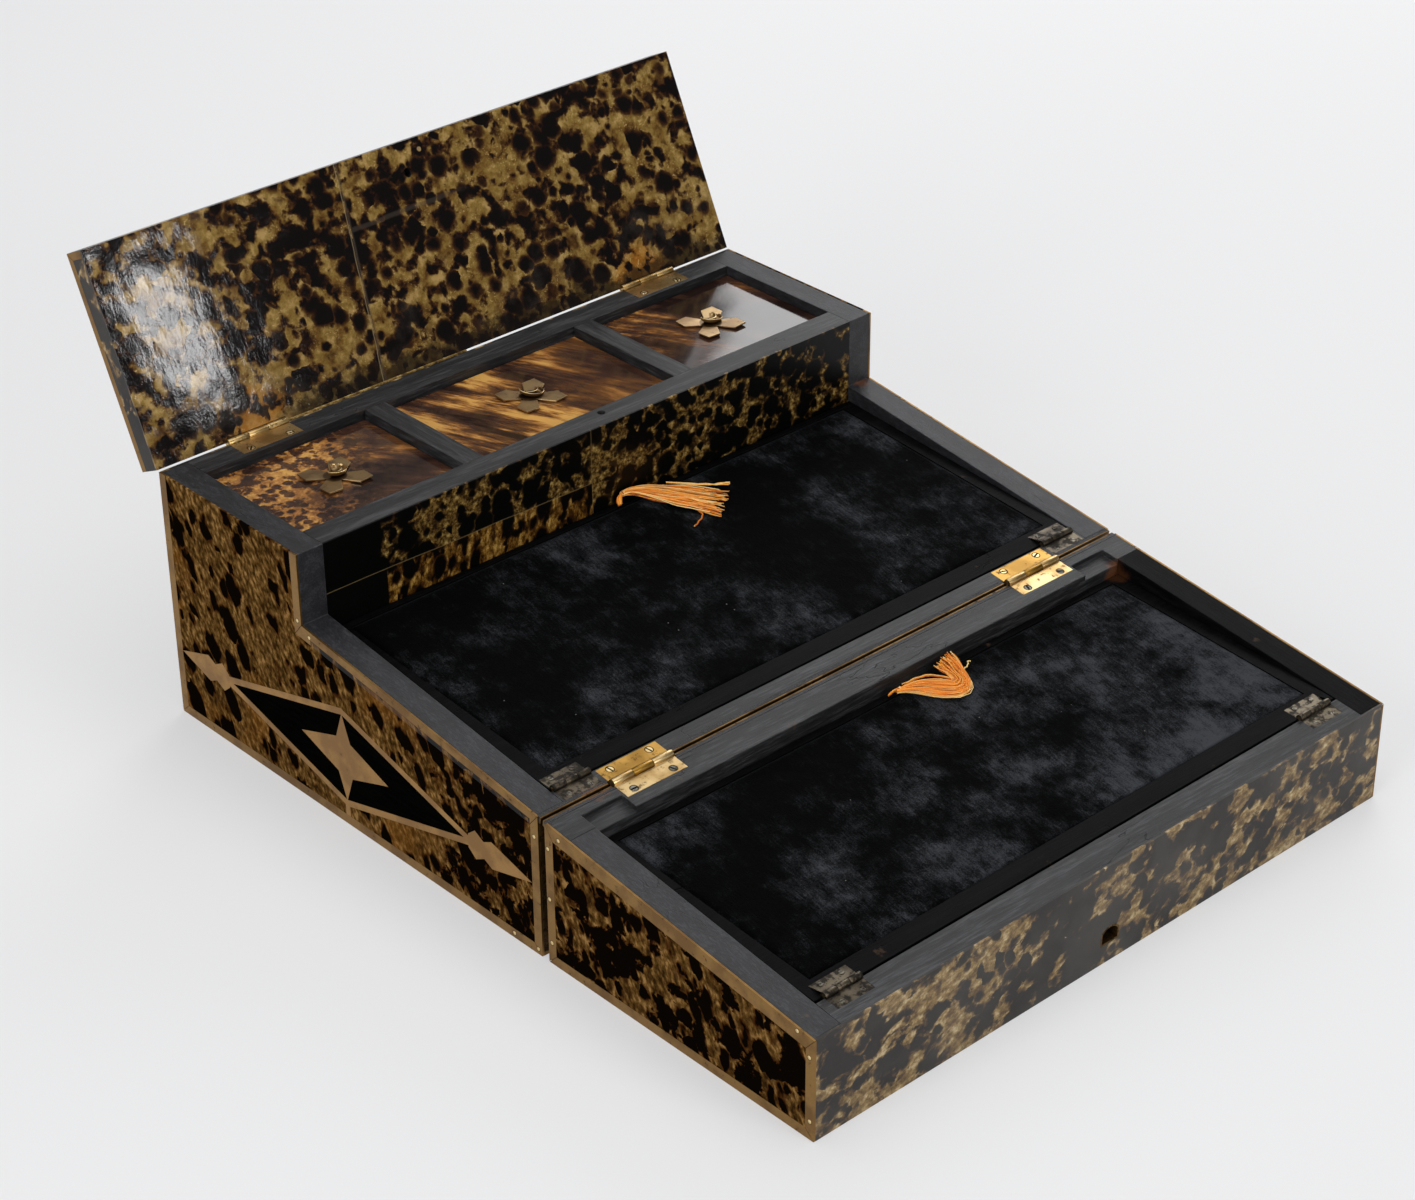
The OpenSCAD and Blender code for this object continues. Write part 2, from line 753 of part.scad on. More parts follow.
module lower_flap_board() {
  on_lower_flap() flap_board(lower_flap_w, lower_len, lower_hinge_x);
}
module lower_flap_velvet() {
  on_lower_flap() flap_velvet(lower_flap_w, lower_len);
}
module lower_flap_hinge_leaves() {
  color(old_brass) on_lower_flap() both_sides() translate([lower_hinge_x, 0, 0])
    flap_leaf(false, pin_r + hinge_play / 2);
}

// Tassels lie on the velvet: a knot, a bound neck and a fan of strands. Each strand is
// given by its direction, length and height; those after a bend start at its point.
tassel_knot_r = 2.4;
tassel_strand_r = 0.75;
tassel_neck_l = 9;
tassel_neck_r = 1.7;
tassel_start = [6, 0];
tassel_low = 0.9;
tassel_high = 2.1;
module strand(at, turn, len, z) {
  translate([at[0], at[1], z]) rotate([0, 0, turn]) rotate([0, 90, 0])
    cylinder(h = len, r = tassel_strand_r, $fn = 6);
}
module tassel_head() {
  translate([0, 0, tassel_knot_r]) sphere(r = tassel_knot_r);
  translate([0, 0, tassel_knot_r - 0.3]) rotate([0, 90, 0])
    cylinder(h = tassel_neck_l, r = tassel_neck_r);
}
upper_tassel_at = [11.5, upper_len - 3.5];
upper_tassel_turn = -28;
upper_tassel_l = 54;
stray_at = [26, -4];
stray_l = 17;
module upper_tassel() {
  color(silk) on_upper_flap()
    translate([upper_tassel_at[0], upper_tassel_at[1], flap_face - velvet_let_in + velvet_t])
      rotate([0, 0, upper_tassel_turn]) {
        tassel_head();
        for (k = [0:6])
          strand(tassel_start, 3 * k - 11, upper_tassel_l * (1 - abs(k - 3) / 45), tassel_low);
        for (k = [0:5])
          strand(tassel_start, 3 * k - 9, upper_tassel_l * (1.04 - k / 36), tassel_high);
        strand(stray_at, -42, stray_l, tassel_low);
      }
}
lower_tassel_at = [6, lower_len - 5];
lower_tassel_turn = -22;
lower_tassel_l = 33;
lower_bend = [38, 0];
bend_step = 1.3;
bend_l = 13.5;
module lower_tassel() {
  color(silk) on_lower_flap()
    translate([lower_tassel_at[0], lower_tassel_at[1], flap_face - velvet_let_in + velvet_t])
      rotate([0, 0, lower_tassel_turn]) {
        tassel_head();
        for (k = [0:5])
          strand(tassel_start, 4 * k - 12, lower_tassel_l * (1 + (k % 2) / 33), tassel_low);
        for (k = [0:4])
          strand(tassel_start, 4 * k - 8, lower_tassel_l * (0.97 + (k % 2) / 33), tassel_high);
        for (k = [0:5])
          strand(lower_bend - [bend_step * k, 0], 66 + 13 * k, bend_l * (1 + (k % 3) / 13),
            tassel_high + (k - 1) * bend_step / 10);
      }
}

// Tray panel, drawn closed round its pin: it lies towards -Y and above the pin
panel_in = seat_gap / 2;
panel_out = panel_in + panel_t;
panel_rear = back_y + panel_over - panel_pin_y;
panel_free = riser_y - panel_pin_y;
module panel_slab(x, y0, y1, z0, z1) {
  block(-x, x, y0, y1, z0, z1);
}
module panel_hinge_cut() {
  both_sides() translate([hinge_x, 0, 0]) {
    block(-hinge_l / 2, hinge_l / 2, -panel_hinge_reach, 0, panel_in + skin_t,
      panel_in + skin_t + leaf_t);
    rod(hinge_l + knuckle_gap, barrel_room);
  }
}
module panel_bores() {
  translate([panel_hole_at[0], -panel_hole_at[1], 0])
    cylinder(h = panel_hole_deep, d = panel_hole_d);
  translate([panel_pin_at[0], -panel_pin_at[1], 0]) cylinder(h = panel_pin_l, r = panel_pin_r);
}
module panel_board() {
  color(ebony) on_panel() difference() {
    panel_slab(core_w / 2, panel_free + skin_t, panel_rear - skin_t, panel_in + skin_t,
      panel_out - skin_t);
    panel_hinge_cut();
    panel_bores();
  }
}
module panel_inner_veneer() {
  color(shell) on_panel() difference() {
    panel_slab(half_w, panel_free, panel_rear, panel_in, panel_in + skin_t);
    both_sides() translate([hinge_x, 0, 0]) rod(hinge_l + knuckle_gap, barrel_room);
    panel_bores();
  }
}
module panel_outer_veneer() {
  color(shell) on_panel()
    panel_slab(core_w / 2, panel_free + skin_t, panel_rear - skin_t, panel_out - skin_t,
      panel_out);
}
module panel_end_strips() {
  both_sides() in_yz(half_w - skin_t, half_w) difference() {
    translate([panel_free, panel_in + skin_t])
      square([panel_rear - panel_free, panel_t - skin_t]);
    translate([panel_free + panel_strip_w, panel_in]) square([far, panel_t - panel_strip_w]);
    kerf([panel_free, panel_out], [panel_free + panel_strip_w, panel_out - panel_strip_w]);
  }
}
module panel_edge_strips() {
  color(brass) on_panel() panel_end_strips();
}
module panel_edge_veneers() {
  color(shell) on_panel() difference() {
    union() {
      both_sides() block(half_w - skin_t, half_w, panel_free + panel_strip_w, panel_rear,
        panel_in + skin_t, panel_out - panel_strip_w);
      panel_slab(core_w / 2, panel_free, panel_free + skin_t, panel_in + skin_t, panel_out);
      panel_slab(core_w / 2, panel_rear - skin_t, panel_rear, panel_in + skin_t, panel_out);
    }
    panel_hinge_cut();
  }
}
module panel_hinge_leaves() {
  color(brass) on_panel() both_sides() translate([hinge_x, 0, 0]) mirror([0, 0, 1])
    panel_leaf(-panel_in - skin_t, false, pin_r + hinge_play / 2, 0);
}
module panel_pin() {
  color(brass) on_panel() translate([panel_pin_at[0], -panel_pin_at[1], panel_in])
    cylinder(h = panel_pin_l - panel_in, r = panel_pin_r);
}

// Inner lids and their flower pulls
module inner_lid(w) {
  color(shell) block(w[0] + inner_lid_play, w[1] - inner_lid_play, well_y0 + inner_lid_play,
    well_y1 - inner_lid_play, inner_lid_foot, inner_lid_top);
}
module left_inner_lid() {
  inner_lid(wells[0]);
}
module middle_inner_lid() {
  inner_lid(wells[1]);
}
module right_inner_lid() {
  inner_lid(wells[2]);
}
petal_t = 0.9;
petal_shoulder = 0.66;
petal_low = 0.3;
petal_high = 1.3;
module petals() {
  intersection() {
    rotate_extrude() polygon([
      [0, petal_low], [petal_root_w, petal_low], [petal_r + 1, petal_high],
      [petal_r + 1, petal_high + petal_t], [petal_root_w, petal_low + petal_t],
      [0, petal_low + petal_t]
    ]);
    linear_extrude(pull_h) for (a = [45:90:315]) rotate(a) polygon([
      [0, -petal_root_w / 2], [petal_shoulder * petal_r, -petal_w / 2], [petal_r, 0],
      [petal_shoulder * petal_r, petal_w / 2], [0, petal_root_w / 2]
    ]);
  }
}
petal_root_top = petal_low + petal_t;
stem_r = 1.2;
leaf_sheet = 0.6;
module stem() {
  rotate_extrude() polygon([
    [0, 0], [3.4, 0], [3.4, petal_root_top / 3], [2.2, petal_root_top], [stem_r, 2 * petal_root_top],
    [0, 2 * petal_root_top]
  ]);
}
// The bud is a leaf of sheet brass curled into a cup that stays open on one side
module curled_leaf() {
  rim_r = 0.8 * curl_r;
  belly_z = pull_h - 1.8;
  rotate_extrude(angle = curl_round) polygon([
    [stem_r, petal_root_top], [curl_r, belly_z], [rim_r, pull_h],
    [rim_r - leaf_sheet, pull_h - leaf_sheet / 3], [curl_r - leaf_sheet, belly_z],
    [stem_r - leaf_sheet, petal_root_top]
  ]);
}
module pull(w, opens) {
  color(brass) translate([(w[0] + w[1]) / 2, (well_y0 + well_y1) / 2, inner_lid_top]) {
    petals();
    stem();
    rotate(opens + 180 - curl_round / 2) curled_leaf();
  }
}
module left_pull() {
  pull(wells[0], -120);
}
module middle_pull() {
  pull(wells[1], -55);
}
module right_pull() {
  pull(wells[2], -150);
}

bottom_board();
left_side_board();
right_side_board();
back_board();
front_board();
riser_board();
left_divider();
right_divider();
inner_lid_ledges();
upper_flap_ledges();
left_side_veneer();
right_side_veneer();
back_veneer();
front_veneer();
riser_veneer();
side_edge_strips();
front_edge_strips();
star_inlays();
star_fields();
main_hinge_base_leaves();
panel_hinge_base_leaves();
upper_flap_hinge_rail_leaves();
base_hinge_pins();
lid_outer_board();
lid_outer_veneer();
lid_left_rail();
lid_right_rail();
lid_rear_rail();
lid_front_rail();
lid_side_veneers();
lid_front_veneer();
lid_rear_veneer();
lid_edge_strips();
lid_flap_ledges();
lid_catch_plate();
main_hinge_lid_leaves();
lower_flap_hinge_rail_leaves();
lid_hinge_pins();
upper_flap_board();
upper_flap_velvet();
upper_flap_hinge_leaves();
upper_tassel();
lower_flap_board();
lower_flap_velvet();
lower_flap_hinge_leaves();
lower_tassel();
panel_board();
panel_inner_veneer();
panel_outer_veneer();
panel_edge_veneers();
panel_edge_strips();
panel_hinge_leaves();
panel_pin();
left_inner_lid();
middle_inner_lid();
right_inner_lid();
left_pull();
middle_pull();
right_pull();
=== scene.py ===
# %% [markdown]
# This lesson dresses a portable writing slope that stands open. The wooden construction
# comes ready made, as named boards, strips and hinges. Here they get their finishes, and
# the velvet, the tassels, the flower pulls and the small screws are modelled; the heads of
# the strip pins are drawn on the brass.
# All lengths are in metres. X runs across the box, Y from front to back and Z up.

# %% Loading the construction
import math
import random

import bmesh
import bpy
from mathutils import Matrix, Vector, noise


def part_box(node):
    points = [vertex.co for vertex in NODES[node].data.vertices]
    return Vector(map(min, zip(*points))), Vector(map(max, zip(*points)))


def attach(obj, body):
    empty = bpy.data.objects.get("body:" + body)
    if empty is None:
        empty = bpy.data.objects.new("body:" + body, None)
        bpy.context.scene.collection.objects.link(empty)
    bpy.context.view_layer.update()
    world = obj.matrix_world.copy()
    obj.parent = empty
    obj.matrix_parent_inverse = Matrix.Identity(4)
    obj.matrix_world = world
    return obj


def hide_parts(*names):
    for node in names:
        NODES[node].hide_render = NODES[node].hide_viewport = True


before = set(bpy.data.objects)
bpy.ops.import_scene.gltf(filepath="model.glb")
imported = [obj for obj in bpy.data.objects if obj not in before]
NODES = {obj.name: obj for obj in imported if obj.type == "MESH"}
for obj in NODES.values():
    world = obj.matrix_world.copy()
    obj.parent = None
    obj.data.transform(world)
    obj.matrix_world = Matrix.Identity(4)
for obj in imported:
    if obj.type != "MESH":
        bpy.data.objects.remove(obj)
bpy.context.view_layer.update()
MM = 0.001

# %% [markdown]
# The camera comes first. It looks down over the front left corner of the box. Its three
# axes were fitted to the corners of the box in the photograph, so they are given as they
# are, and the small roll of the hand-held view is part of them.

# %% The camera
CAMERA_AT = Vector((-0.9953, -1.1449, 0.9537))
CAMERA_RIGHT = Vector((0.73739, -0.67543, -0.00680))
CAMERA_UP = Vector((0.34936, 0.37275, 0.85966))
LENS = 83.79


def studio_camera():
    data = bpy.data.cameras.new("studio_camera")
    data.sensor_fit, data.sensor_width, data.lens = "HORIZONTAL", 36, LENS
    camera = bpy.data.objects.new("studio_camera", data)
    bpy.context.scene.collection.objects.link(camera)
    turn = Matrix((CAMERA_RIGHT, CAMERA_UP, CAMERA_RIGHT.cross(CAMERA_UP))).transposed()
    camera.matrix_world = Matrix.Translation(CAMERA_AT) @ turn.to_4x4()
    return camera


bpy.context.scene.camera = studio_camera()
bpy.context.scene.view_settings.view_transform = "Standard"
print("camera at", tuple(round(v, 3) for v in CAMERA_AT))

# %% [markdown]
# A finish is a small graph of nodes. Written node by node it is long and hard to read, so
# one class wraps a socket and lets Python's own signs add the Math nodes: 1 - mask is a
# Subtract node. A second class holds a material, or the world, and its method node makes
# every other node from its type, its settings and its inputs.


# %% A socket that can be reckoned with
class Value:
    def __init__(self, finish, socket):
        self.finish = finish
        self.socket = socket

    def maths(self, operation, first, second=0.0):
        return self.finish.node("Math", {"operation": operation}, {0: first, 1: second})

    def __abs__(self):
        return self.maths("ABSOLUTE", self)

    def either(self, other):
        return self.maths("MAXIMUM", self, other)


def give_sign(sign, operation):
    setattr(Value, f"__{sign}__", lambda self, other: self.maths(operation, self, other))
    setattr(Value, f"__r{sign}__", lambda self, other: self.maths(operation, other, self))


give_sign("add", "ADD")
give_sign("sub", "SUBTRACT")
give_sign("mul", "MULTIPLY")


# %% A material in the making
def colour(code):
    """The linear colour of a hex code as seen on a screen."""
    parts = [int(code[i : i + 2], 16) / 255 for i in (1, 3, 5)]
    return tuple(p / 12.92 if p < 0.04 else ((p + 0.055) / 1.055) ** 2.4 for p in parts) + (1,)


class Finish:
    def __init__(self, name, family="materials", shader="Principled BSDF"):
        self.material = getattr(bpy.data, family).new(name)
        self.material.use_nodes = True
        self.tree = self.material.node_tree
        self.shader = self.tree.nodes[shader]

    def fill(self, made, inputs):
        for key, value in inputs.items():
            if isinstance(value, Value):
                self.tree.links.new(value.socket, made.inputs[key])
            else:
                made.inputs[key].default_value = value

    def node(self, kind, settings, inputs, output=0):
        made = self.tree.nodes.new("ShaderNode" + kind)
        for key, value in settings.items():
            if key == "stops":
                elements = made.color_ramp.elements
                while len(elements) < len(value):
                    elements.new(0.5)
                for element, (place, code) in zip(elements, value):
                    element.position = place
                    element.color = colour(code)
            else:
                setattr(made, key, value)
        self.fill(made, inputs)
        return Value(self, made.outputs[output])

    def surface(self, **inputs):
        self.fill(self.shader, {k.replace("_", " "): v for k, v in inputs.items()})
        return self.material


# %% [markdown]
# Most patterns need the same few tools: the place on the piece, cloudy noise, a soft
# threshold, and a mix of two colours. All places are object coordinates. Every piece has
# its place in its mesh, so a pattern stays put when the piece is moved by a joint, and two
# boards side by side never show the same streaks.


# %% Tools that every finish uses
# Half the width of a sharp border, and a distance that no place on the box has, in metres.
BORDER, FAR_AWAY = 0.0001, 9.0


class Craft(Finish):
    def place(self, turn=(0, 0, 0), scale=(1, 1, 1), shift=(0, 0, 0)):
        here = self.node("TexCoord", {}, {}, "Object")
        angles = tuple(math.radians(a) for a in turn)
        first = self.node("Mapping", {}, {"Vector": here, "Rotation": angles, "Location": shift})
        return self.node("Mapping", {}, {"Vector": first, "Scale": scale})

    def axis(self, place, index):
        return self.node("SeparateXYZ", {}, {0: place}, index)

    def cloud(self, place, size, detail=2.0, rough=0.5, output=0):
        return self.node(
            "TexNoise", {}, {"Vector": place, "Scale": 1 / size, "Detail": detail, "Roughness": rough}, output
        )

    def vector(self, operation, first, second, output=0):
        return self.node("VectorMath", {"operation": operation}, {0: first, 1: second}, output)

    def warp(self, place, size, reach):
        """The place pushed about by a cloud, by up to half of reach."""
        push = self.vector("SUBTRACT", self.cloud(place, size, 2, 0.5, 1), (0.5, 0.5, 0.5))
        return self.vector("ADD", place, self.vector("MULTIPLY", push, (reach, reach, reach)))

    def soft(self, value, low, high):
        """0 below low and 1 above high."""
        return self.node("MapRange", {"interpolation_type": "SMOOTHSTEP"}, {"Value": value, 1: low, 2: high})

    def fade(self, value, low, high):
        """1 below low and 0 above high."""
        return 1 - self.soft(value, low, high)

    def past(self, value, line):
        """0 before a line and 1 past it, with a sharp border."""
        return self.soft(value, line - BORDER, line + BORDER)

    def ramp(self, value, *stops):
        return self.node("ValToRGB", {"stops": stops}, {0: value})

    def mix(self, mask, first, second):
        sides = {0: mask, 6: first, 7: second}
        sides = {k: colour(v) if isinstance(v, str) else v for k, v in sides.items()}
        return self.node("Mix", {"data_type": "RGBA"}, sides, 2)

    def cells(self, place, size):
        """The distance to the nearest point of a random grid, and that point's own numbers."""
        cell = {"Vector": place, "Scale": 1 / size}
        return self.node("TexVoronoi", {}, cell), self.node("TexVoronoi", {}, cell, "Color")

    def specks(self, place, size, radius, share):
        """Round specks, one in some of the cells of a random grid."""
        near, own = self.cells(place, size)
        return self.fade(near, radius * 0.6, radius) * self.soft(self.axis(own, 0), 1 - share, 1 - share + 0.01)

    def near(self, points, along=(1, 1, 1)):
        """The distance to the nearest of some points; along drops or keeps each axis."""
        here = self.place(scale=along)
        found = FAR_AWAY
        for point in points:
            away = self.vector("DISTANCE", here, tuple(p * MM * a for p, a in zip(point, along)), 1)
            found = away.maths("MINIMUM", away, found)
        return found

    def bump(self, height, depth, strength=1.0, under=None):
        inputs = {"Height": height, "Distance": depth, "Strength": strength}
        if under:
            inputs["Normal"] = under
        return self.node("Bump", {}, inputs)

    def coat(self, base, rough, specular, normal, **more):
        """The whole surface: its colour, roughness, strength of gloss and bump."""
        return self.surface(Base_Color=base, Roughness=rough, Specular_IOR_Level=specular, Normal=normal, **more)


print("finishing tools ready")

# %% [markdown]
# The studio is a plain pale floor and soft light. Large area lamps give soft shadows. Two
# of them are placed where they mirror in glossy faces: one behind the box at the right
# shows on the right inner lid, and a narrow one in front at the right shows on the left end
# of the open panel. The world is bright near the horizon, as a pale studio sweep is, and
# dim above it, so that the glossy black faces stay dark.


# %% Floor and world
def new_piece(name, bm):
    mesh = bpy.data.meshes.new(name)
    bm.to_mesh(mesh)
    bm.free()
    made = bpy.data.objects.new(name, mesh)
    bpy.context.scene.collection.objects.link(made)
    return made


def floor_finish():
    f = Craft("studio_floor")
    rays = f.node("LightPath", {}, {}, "Is Camera Ray")
    for kind in ("Glossy", "Transmission"):
        rays = rays.either(f.node("LightPath", {}, {}, f"Is {kind} Ray"))
    white = f.node("Emission", {}, {"Color": colour("#fbfbfc"), "Strength": 0.93})
    f.surface(Base_Color=colour("#eeeeee"), Roughness=0.9, Specular_IOR_Level=0.0)
    both = f.node("MixShader", {}, {0: rays * 0.45, 1: Value(f, f.shader.outputs[0]), 2: white})
    f.tree.links.new(both.socket, f.tree.nodes["Material Output"].inputs[0])
    return f.material


def studio_world():
    f = Finish("studio_world", "worlds", "Background")
    height = f.node("SeparateXYZ", {}, {0: f.node("TexCoord", {}, {}, "Generated")}, 2)
    stops = ((0.0, "#e6e7e8"), (0.06, "#cdced1"), (0.2, "#4c4d50"), (0.55, "#6c6e72"), (1.0, "#c9cacc"))
    f.fill(f.shader, {"Color": f.node("ValToRGB", {"stops": stops}, {0: height}), "Strength": 1.0})
    bpy.context.scene.world = f.material


FLOOR_SIZE, FLOOR_DROP = 12, 0.0002
bm = bmesh.new()
bmesh.ops.create_grid(bm, x_segments=1, y_segments=1, size=FLOOR_SIZE, matrix=Matrix.Translation((0, 0, -FLOOR_DROP)))
floor = new_piece("studio_floor", bm)
floor.data.materials.append(floor_finish())
studio_world()


# %% Soft lamps
def softbox(name, at, aim, width, height, power):
    data = bpy.data.lights.new(name, "AREA")
    data.shape = "RECTANGLE"
    data.size, data.size_y = width, height
    data.energy = power
    lamp = bpy.data.objects.new(name, data)
    bpy.context.scene.collection.objects.link(lamp)
    lamp.location = at
    lamp.rotation_euler = (Vector(aim) - Vector(at)).to_track_quat("-Z", "Y").to_euler()


BOX_MIDDLE = (0, -0.05, 0.1)
softbox("overhead", (0.1, -0.1, 2.4), BOX_MIDDLE, 2.2, 2.2, 17)
softbox("left", (-2.6, -0.6, 1.3), BOX_MIDDLE, 1.4, 1.4, 34)
softbox("front", (0.35, -2.6, 1.3), BOX_MIDDLE, 0.8, 0.8, 16)
softbox("panel_glint", (1.126, -2.02, 1.08), (-0.166, 0.182, 0.211), 0.06, 0.2, 0.68)
softbox("back_right", (1.74, 1.0, 1.2), BOX_MIDDLE, 1.2, 1.1, 15)
softbox("back_glow", (1.38, 1.86, 1.26), (0, 0.09, 0.14), 0.5, 0.4, 0.9)

# %% [markdown]
# Tortoiseshell is translucent horn. It has an amber ground with dark clouds and round dark
# spots, all with soft reddish borders, and it is glued down in separate sheets, so each
# face has its own size of cloud and its own balance of light and dark. Noise alone looks
# like camouflage. So the darkness is built from layers: clouds of bent noise, and spots
# round the points of a Voronoi grid, of which only a share is used. The darker of the two
# wins at each place, and one ramp turns darkness into ground, red-brown border and black.


# %% The pattern of tortoiseshell
class Shell(Craft):
    def clouds(self, place, size, gather=0.5, ragged=0.25, bend=0.6):
        """Darkness of noise clouds; about half of the face lies over 0.5."""
        bent = self.warp(place, size * 1.7, size * bend)
        body = self.cloud(bent, size, 1.5, 0.45)
        drift = self.cloud(place, size * 5, 2, 0.5) - 0.5
        fleck = self.cloud(bent, size * 0.3, 3, 0.6) - 0.5
        return body + drift * gather + fleck * ragged

    def spots(self, place, cell, radius, share, bend=0.3):
        """Darkness of round spots, over 0.5 inside them."""
        bent = self.warp(self.warp(place, cell * 0.7, cell * bend), cell * 0.2, cell * 0.14)
        near, own = self.cells(bent, cell)
        size = radius * (0.55 + self.axis(own, 1) * 0.7)
        missing = self.fade(self.axis(own, 0), 1 - share, 1 - share + 0.01)
        return 0.5 + (size - near) * 0.6 - missing

    def bordered(self, ground, dark, border, middle):
        """Dark patches on a ground; border and middle are (from, to, colour)."""
        for low, high, code in (border, middle):
            ground = self.mix(self.soft(dark, low, high), ground, code)
        return ground

    def polish(self, place, wave, ripple, scratch=0.25):
        """Bump of an old polished sheet: slow waves and short ripples."""
        relief = self.bump(self.cloud(place, wave, 2, 0.5), 0.0008, 0.4)
        return self.bump(self.cloud(place, ripple, 3, 0.6), 0.0001, scratch, relief)


print("shell pattern ready")

# %% [markdown]
# The sides of the base are the calmest sheets: a brown ground full of small streaks that
# lean back, with scattered black spots of about 5 by 12 mm. Towards the fold the sheet
# changes to large black patches with small tan islands.


# %% Veneer of the sides
def side_colour(f, seed, patch_from, patch_to, patchy=0.05):
    leaning = f.place((22, 0, 0), (1, 1, 0.6), (seed, 0, 0))
    plain = f.place(shift=(seed, 0, 0))
    y = f.axis(f.place(), 1)
    fine = f.clouds(leaning, 0.0026, 0.3, 0.4, 0.5)
    small = f.spots(leaning, 0.0046, 0.36, 0.6, 0.5)
    tan = f.ramp(fine, (0.28, "#947143"), (0.4, "#6f5129"), (0.54, "#4f3718"), (0.7, "#2c1c0b"))
    amber = f.soft(f.cloud(plain, 0.045, 3), 0.5, 0.66)
    tan = f.mix(f.soft(small, 0.44, 0.62) * 0.6, tan, "#2b1a0b")
    front = f.fade(y + (f.cloud(plain, 0.025) - 0.5) * 0.09, patch_from, patch_to)
    tan = f.mix(amber * (1 - front) * 0.3, tan, "#84521c")
    patches = f.clouds(plain, 0.0125, 0.35, 0.5, 0.9) + patchy
    patches = patches.either(f.spots(plain, 0.012, 0.5, 0.5, 0.5)) * front
    drift = (f.cloud(plain, 0.05, 2) - 0.5) * 0.5
    dark = f.spots(leaning, 0.0122, 0.43, 0.74, 0.8) + drift * 0.25
    dark = dark.either(f.spots(leaning, 0.0072, 0.38, 0.45, 0.6)).either(patches)
    base = f.bordered(tan, dark, (0.45, 0.51, "#3f230c"), (0.49, 0.53, "#0a0604"))
    return f.mix(f.specks(plain, 0.021, 0.055, 0.22) * 0.8, base, "#b9ad95")


def side_shell(name, seed, patch_from, patch_to, patchy=0.05):
    f = Shell(name)
    base = side_colour(f, seed, patch_from, patch_to, patchy)
    plain = f.place(shift=(seed, 0, 0))
    rough = 0.36 + f.cloud(plain, 0.004, 4, 0.6) * 0.2
    return f.coat(base, rough, 0.0, f.polish(plain, 0.02, 0.0018))


# %% [markdown]
# The inner face of the tray panel is the oldest looking sheet. It has an olive tan ground,
# round clouds with red-brown borders, and short pale cracks. Its polish has shrunk into
# ripples, mostly at the left end and along the hinges, where they break up the mirrored
# lamp. An upright joint and a level one beside it show where its sheets meet, and the
# lower edge is darker, except at the left end.


# %% Veneer of the open panel
def panel_shell(name, joint_x, lean_x, level_down):
    f = Shell(name)
    here = f.place()
    x, z = f.axis(here, 0), f.axis(here, 2)
    joint = x - joint_x - (z - 0.2) * lean_x + (f.cloud(here, 0.02) - 0.5) * 0.002
    right = f.past(joint, 0)
    shifted = f.vector("ADD", here, (0.31, 0, 0.17))
    sheet = f.node("Mix", {"data_type": "VECTOR"}, {0: right, 4: shifted, 5: here}, 1)
    dark = f.clouds(sheet, 0.0092, 0.6, 0.35, 0.9) - 0.07
    dark = dark.either(f.spots(sheet, 0.0124, 0.47, 0.62, 0.5))
    dark = dark.either(f.spots(sheet, 0.0072, 0.38, 0.35, 0.5) - 0.01)
    tone = f.cloud(sheet, 0.009, 5, 0.68)
    ground = f.ramp(tone, (0.31, "#40280f"), (0.42, "#6e5023"), (0.52, "#866b34"), (0.64, "#ac8d56"))
    base = f.bordered(ground, dark, (0.39, 0.5, "#3f240d"), (0.45, 0.58, "#0c0605"))
    clear = f.fade(dark, 0.43, 0.5)
    hot = f.fade(abs(abs(x) - 0.135) + abs(z - 0.152) * 1.2 + f.cloud(here, 0.008, 4) * 0.04, 0.028, 0.05)
    base = f.mix(hot * 0.42 * clear, base, "#c0761c")
    grey = f.soft(f.cloud(here, 0.03, 4, 0.6) - f.soft(z, 0.16, 0.2) * 0.16, 0.44, 0.62)
    base = f.mix(grey * 0.16, base, "#5c564d")
    pale = f.cloud(f.warp(sheet, 0.004, 0.006), 0.0013, 2, 0.5)
    pale = f.soft(pale, 0.6, 0.66) * f.soft(f.cloud(sheet, 0.014, 3), 0.44, 0.58)
    base = f.mix(pale * clear * 0.6, base, "#c9ab6e")
    # Darker along the lower edge, except at the left end.
    foot = f.fade(z + (f.cloud(here, 0.014, 5, 0.65) - 0.5) * 0.034, 0.151, 0.158)
    base = f.mix(foot * f.soft(x, -0.13, -0.1) * 0.82, base, "#130d09")
    level = abs(z - level_down - x * 0.02 + (f.cloud(here, 0.015) - 0.5) * 0.002)
    level = f.fade(level, 0.0004, 0.0018) * right * f.fade(x, joint_x + 0.06, joint_x + 0.09)
    upright = f.fade(abs(joint), 0.0003, 0.0014)
    base = f.mix(level.either(upright) * 0.42, base, "#4a4138")
    base = f.mix(f.fade(abs(joint + 0.0012), 0.0001, 0.0004) * 0.5, base, "#a3906a")
    left = f.fade(x, -0.15, -0.06)
    low = f.fade(z, 0.152, 0.172)
    tall = f.place((20, 0, 0), (1, 1, 0.3))
    ripples = f.cloud(f.warp(tall, 0.01, 0.004), 0.0038, 3, 0.55)
    relief = f.bump(f.cloud(here, 0.03), 0.0005, 0.5)
    relief = f.bump(ripples * (0.12 + left * 0.2).either(low), 0.0001, 0.8, relief)
    relief = f.bump(f.cloud(here, 0.0016, 3, 0.6) + pale * 0.3 - level * 0.5, 0.00003, 0.4, relief)
    rough = 0.02 + f.cloud(here, 0.008, 5, 0.65) * 0.06
    return f.coat(base, rough, 0.4, relief)


# %% [markdown]
# The riser between the slope and the tray shows how the shell is pieced together. A long
# sheet with large black clouds lies above a narrower golden one, and both end at an upright
# joint in the middle. Each sheet is a region of the face, with its own shift of the pattern
# and its own darkness, and the joints between them are thin lines.


